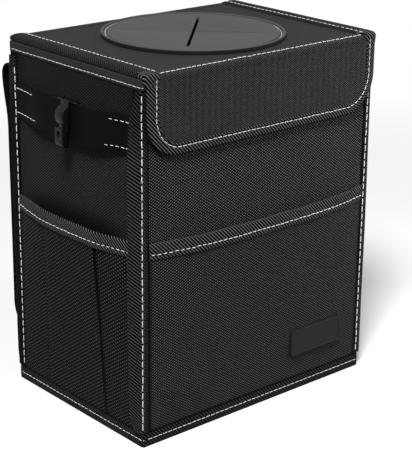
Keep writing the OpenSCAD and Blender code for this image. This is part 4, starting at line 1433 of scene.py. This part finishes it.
def flap_stitches():
    line = []
    for (x, z), (dx, dz) in flap_path(0, 248.2):
        inset = tape_width(x) - 2.6
        line.append((x + dx * inset, -flap_face - 0.6, z + dz * inset))
    row("flap", line, (0, -1, 0), sideways=0.06)


flap_stitches()
print("stitches:", {body: len(found) for body, found in rows.items()})

# %% Geometry nodes that put a stitch on every point
def stitch_nodes():
    tree = bpy.data.node_groups.new("thread_row", "GeometryNodeTree")
    tree.interface.new_socket("Geometry", in_out="INPUT", socket_type="NodeSocketGeometry")
    thick = tree.interface.new_socket("Thread Radius", in_out="INPUT", socket_type="NodeSocketFloat")
    colour = tree.interface.new_socket("Thread Material", in_out="INPUT", socket_type="NodeSocketMaterial")
    tree.interface.new_socket("Geometry", in_out="OUTPUT", socket_type="NodeSocketGeometry")
    new, link = tree.nodes.new, tree.links.new
    given, result = new("NodeGroupInput"), new("NodeGroupOutput")
    bow = new("GeometryNodeCurveQuadraticBezier")
    bow.inputs["Resolution"].default_value = 5
    bow.inputs["Start"].default_value = (-0.5, 0, -0.25 * MM)
    bow.inputs["Middle"].default_value = (0, 0, 0.45 * MM)
    bow.inputs["End"].default_value = (0.5, 0, -0.25 * MM)
    circle = new("GeometryNodeCurvePrimitiveCircle")
    circle.inputs["Resolution"].default_value = 7
    link(given.outputs["Thread Radius"], circle.inputs["Radius"])
    tube = new("GeometryNodeCurveToMesh")
    link(bow.outputs["Curve"], tube.inputs["Curve"])
    link(circle.outputs["Curve"], tube.inputs["Profile Curve"])
    tube.inputs["Fill Caps"].default_value = True

    def read(name, kind):
        node = new("GeometryNodeInputNamedAttribute")
        node.data_type = kind
        node.inputs["Name"].default_value = name
        return node.outputs["Attribute"]

    face_out = new("FunctionNodeAlignRotationToVector")
    face_out.axis = "Z"
    link(read("outward", "FLOAT_VECTOR"), face_out.inputs["Vector"])
    face_on = new("FunctionNodeAlignRotationToVector")
    face_on.axis, face_on.pivot_axis = "X", "Z"
    link(face_out.outputs["Rotation"], face_on.inputs["Rotation"])
    link(read("along", "FLOAT_VECTOR"), face_on.inputs["Vector"])
    size = new("ShaderNodeCombineXYZ")
    link(read("size", "FLOAT"), size.inputs["X"])
    link(read("girth", "FLOAT"), size.inputs["Y"])
    link(read("girth", "FLOAT"), size.inputs["Z"])
    place = new("GeometryNodeInstanceOnPoints")
    link(given.outputs["Geometry"], place.inputs["Points"])
    link(tube.outputs["Mesh"], place.inputs["Instance"])
    link(face_on.outputs["Rotation"], place.inputs["Rotation"])
    link(size.outputs["Vector"], place.inputs["Scale"])
    real = new("GeometryNodeRealizeInstances")
    link(place.outputs["Instances"], real.inputs["Geometry"])
    paint = new("GeometryNodeSetMaterial")
    link(real.outputs["Geometry"], paint.inputs["Geometry"])
    link(given.outputs["Thread Material"], paint.inputs["Material"])
    link(paint.outputs["Geometry"], result.inputs["Geometry"])
    return tree, thick.identifier, colour.identifier


thread_tree, radius_id, material_id = stitch_nodes()
for body, found in rows.items():
    mesh = bpy.data.meshes.new(body + "_points")
    mesh.from_pydata([(stitch[0] * MM).tolist() for stitch in found], [], [])
    for name, kind, values in (("along", "FLOAT_VECTOR", [stitch[1] for stitch in found]),
                               ("outward", "FLOAT_VECTOR", [stitch[2] for stitch in found]),
                               ("size", "FLOAT", [stitch[3] * MM for stitch in found]),
                               ("girth", "FLOAT", [stitch[4] for stitch in found])):
        attribute = mesh.attributes.new(name, kind, "POINT")
        key = "vector" if kind == "FLOAT_VECTOR" else "value"
        attribute.data.foreach_set(key, np.asarray(values, np.float32).ravel())
    obj = bpy.data.objects.new(body + "_stitches", mesh)
    bpy.context.scene.collection.objects.link(obj)
    sew = obj.modifiers.new("sew", "NODES")
    sew.node_group = thread_tree
    sew[radius_id] = 0.42 * MM
    sew[material_id] = thread_white
    obj.data = bpy.data.meshes.new_from_object(obj.evaluated_get(bpy.context.evaluated_depsgraph_get()))
    obj.modifiers.clear()
    obj.data.shade_smooth()
    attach(obj, body)
    print(obj.name, len(obj.data.polygons), "faces")

# %% [markdown]
# ## Floor and light
# A plain white studio: a pale floor, a large soft light up on the front left, whose shadow
# falls to the right and behind, and a small weak one low at the front right, so that the top
# is brightest, the front comes next and the left wall is the darkest, with painted shade on
# the side walls as well. Far off, the camera sees the floor with light of its own, so that it
# stays white up to the edges.

# %% Floor
def link_many(tree, *pairs):
    for source, target in pairs:
        tree.links.new(source, target)


def seen_directly(tree):
    """1 for a ray from the camera, a mirror or glass, and 0 for one that only brings light."""
    ray = tree.nodes.new("ShaderNodeLightPath").outputs
    seen = calc(tree, "MAXIMUM", ray["Is Camera Ray"], ray["Is Glossy Ray"])
    return calc(tree, "MAXIMUM", seen, ray["Is Transmission Ray"])


floor_mesh = bpy.data.meshes.new("floor")
floor_mesh.from_pydata([(-6, -6, 0), (6, -6, 0), (6, 6, 0), (-6, 6, 0)], [], [(0, 1, 2, 3)])
floor = bpy.data.objects.new("floor", floor_mesh)
bpy.context.scene.collection.objects.link(floor)
floor.location.z = -0.0002
floor_material = bpy.data.materials.new("floor_white")
floor_material.use_nodes = True
tree = floor_material.node_tree
tree.nodes.clear()
bright, dim = tree.nodes.new("ShaderNodeBsdfDiffuse"), tree.nodes.new("ShaderNodeBsdfDiffuse")
bright.inputs["Color"].default_value = (0.95, 0.95, 0.95, 1)
dim.inputs["Color"].default_value = (0.2, 0.2, 0.2, 1)
glow, pale = tree.nodes.new("ShaderNodeEmission"), tree.nodes.new("ShaderNodeMixShader")
away, reach = tree.nodes.new("ShaderNodeVectorMath"), tree.nodes.new("ShaderNodeMapRange")
away.operation = "LENGTH"
reach.inputs["From Min"].default_value, reach.inputs["From Max"].default_value = 0.26, 0.85
reach.inputs["To Min"].default_value, reach.inputs["To Max"].default_value = 0.08, 1.0
choose, result = tree.nodes.new("ShaderNodeMixShader"), tree.nodes.new("ShaderNodeOutputMaterial")
link_many(tree, (object_place(tree), away.inputs[0]), (away.outputs["Value"], reach.inputs["Value"]),
          (reach.outputs["Result"], pale.inputs["Fac"]),
          (bright.outputs[0], pale.inputs[1]), (glow.outputs[0], pale.inputs[2]),
          (seen_directly(tree), choose.inputs["Fac"]), (dim.outputs[0], choose.inputs[1]),
          (pale.outputs[0], choose.inputs[2]), (choose.outputs[0], result.inputs["Surface"]))
floor_mesh.materials.append(floor_material)
print("floor ready")

# %% Lights and background
def area_light(name, place, aim, size, power):
    data = bpy.data.lights.new(name, "AREA")
    data.shape, data.size, data.energy = "DISK", size, power
    lamp = bpy.data.objects.new(name, data)
    bpy.context.scene.collection.objects.link(lamp)
    direction = np.array(aim, float) - np.array(place, float)
    z = -direction / np.linalg.norm(direction)
    x = np.cross((0, 0, 1), z)
    x = x / np.linalg.norm(x) if np.linalg.norm(x) > 1e-6 else np.array((1.0, 0, 0))
    y = np.cross(z, x)
    lamp.matrix_world = Matrix.Translation(place) @ Matrix([[x[i], y[i], z[i]] for i in range(3)]).to_4x4()


area_light("key", (-1.26, -0.99, 2.15), (0, 0, 0.1), 0.75, 84)
area_light("front_right", (0.36, -0.34, 0.30), (0.05, 0, 0.12), 0.25, 1.2)
world = bpy.data.worlds.new("studio")
bpy.context.scene.world = world
world.use_nodes = True
tree = world.node_tree
tree.nodes.clear()
sky, white = tree.nodes.new("ShaderNodeBackground"), tree.nodes.new("ShaderNodeBackground")
sky.inputs["Color"].default_value = white.inputs["Color"].default_value = (1, 1, 1, 1)
sky.inputs["Strength"].default_value = 0.12
white.inputs["Strength"].default_value = 1.0
choose, result = tree.nodes.new("ShaderNodeMixShader"), tree.nodes.new("ShaderNodeOutputWorld")
link_many(tree, (seen_directly(tree), choose.inputs["Fac"]), (sky.outputs[0], choose.inputs[1]),
          (white.outputs[0], choose.inputs[2]), (choose.outputs[0], result.inputs["Surface"]))
bpy.context.scene.view_settings.view_transform = "Standard"
print("studio ready")

# %% Count the pieces and finish
print("pieces:", len(made), "faces:", sum(count for _, count in made))
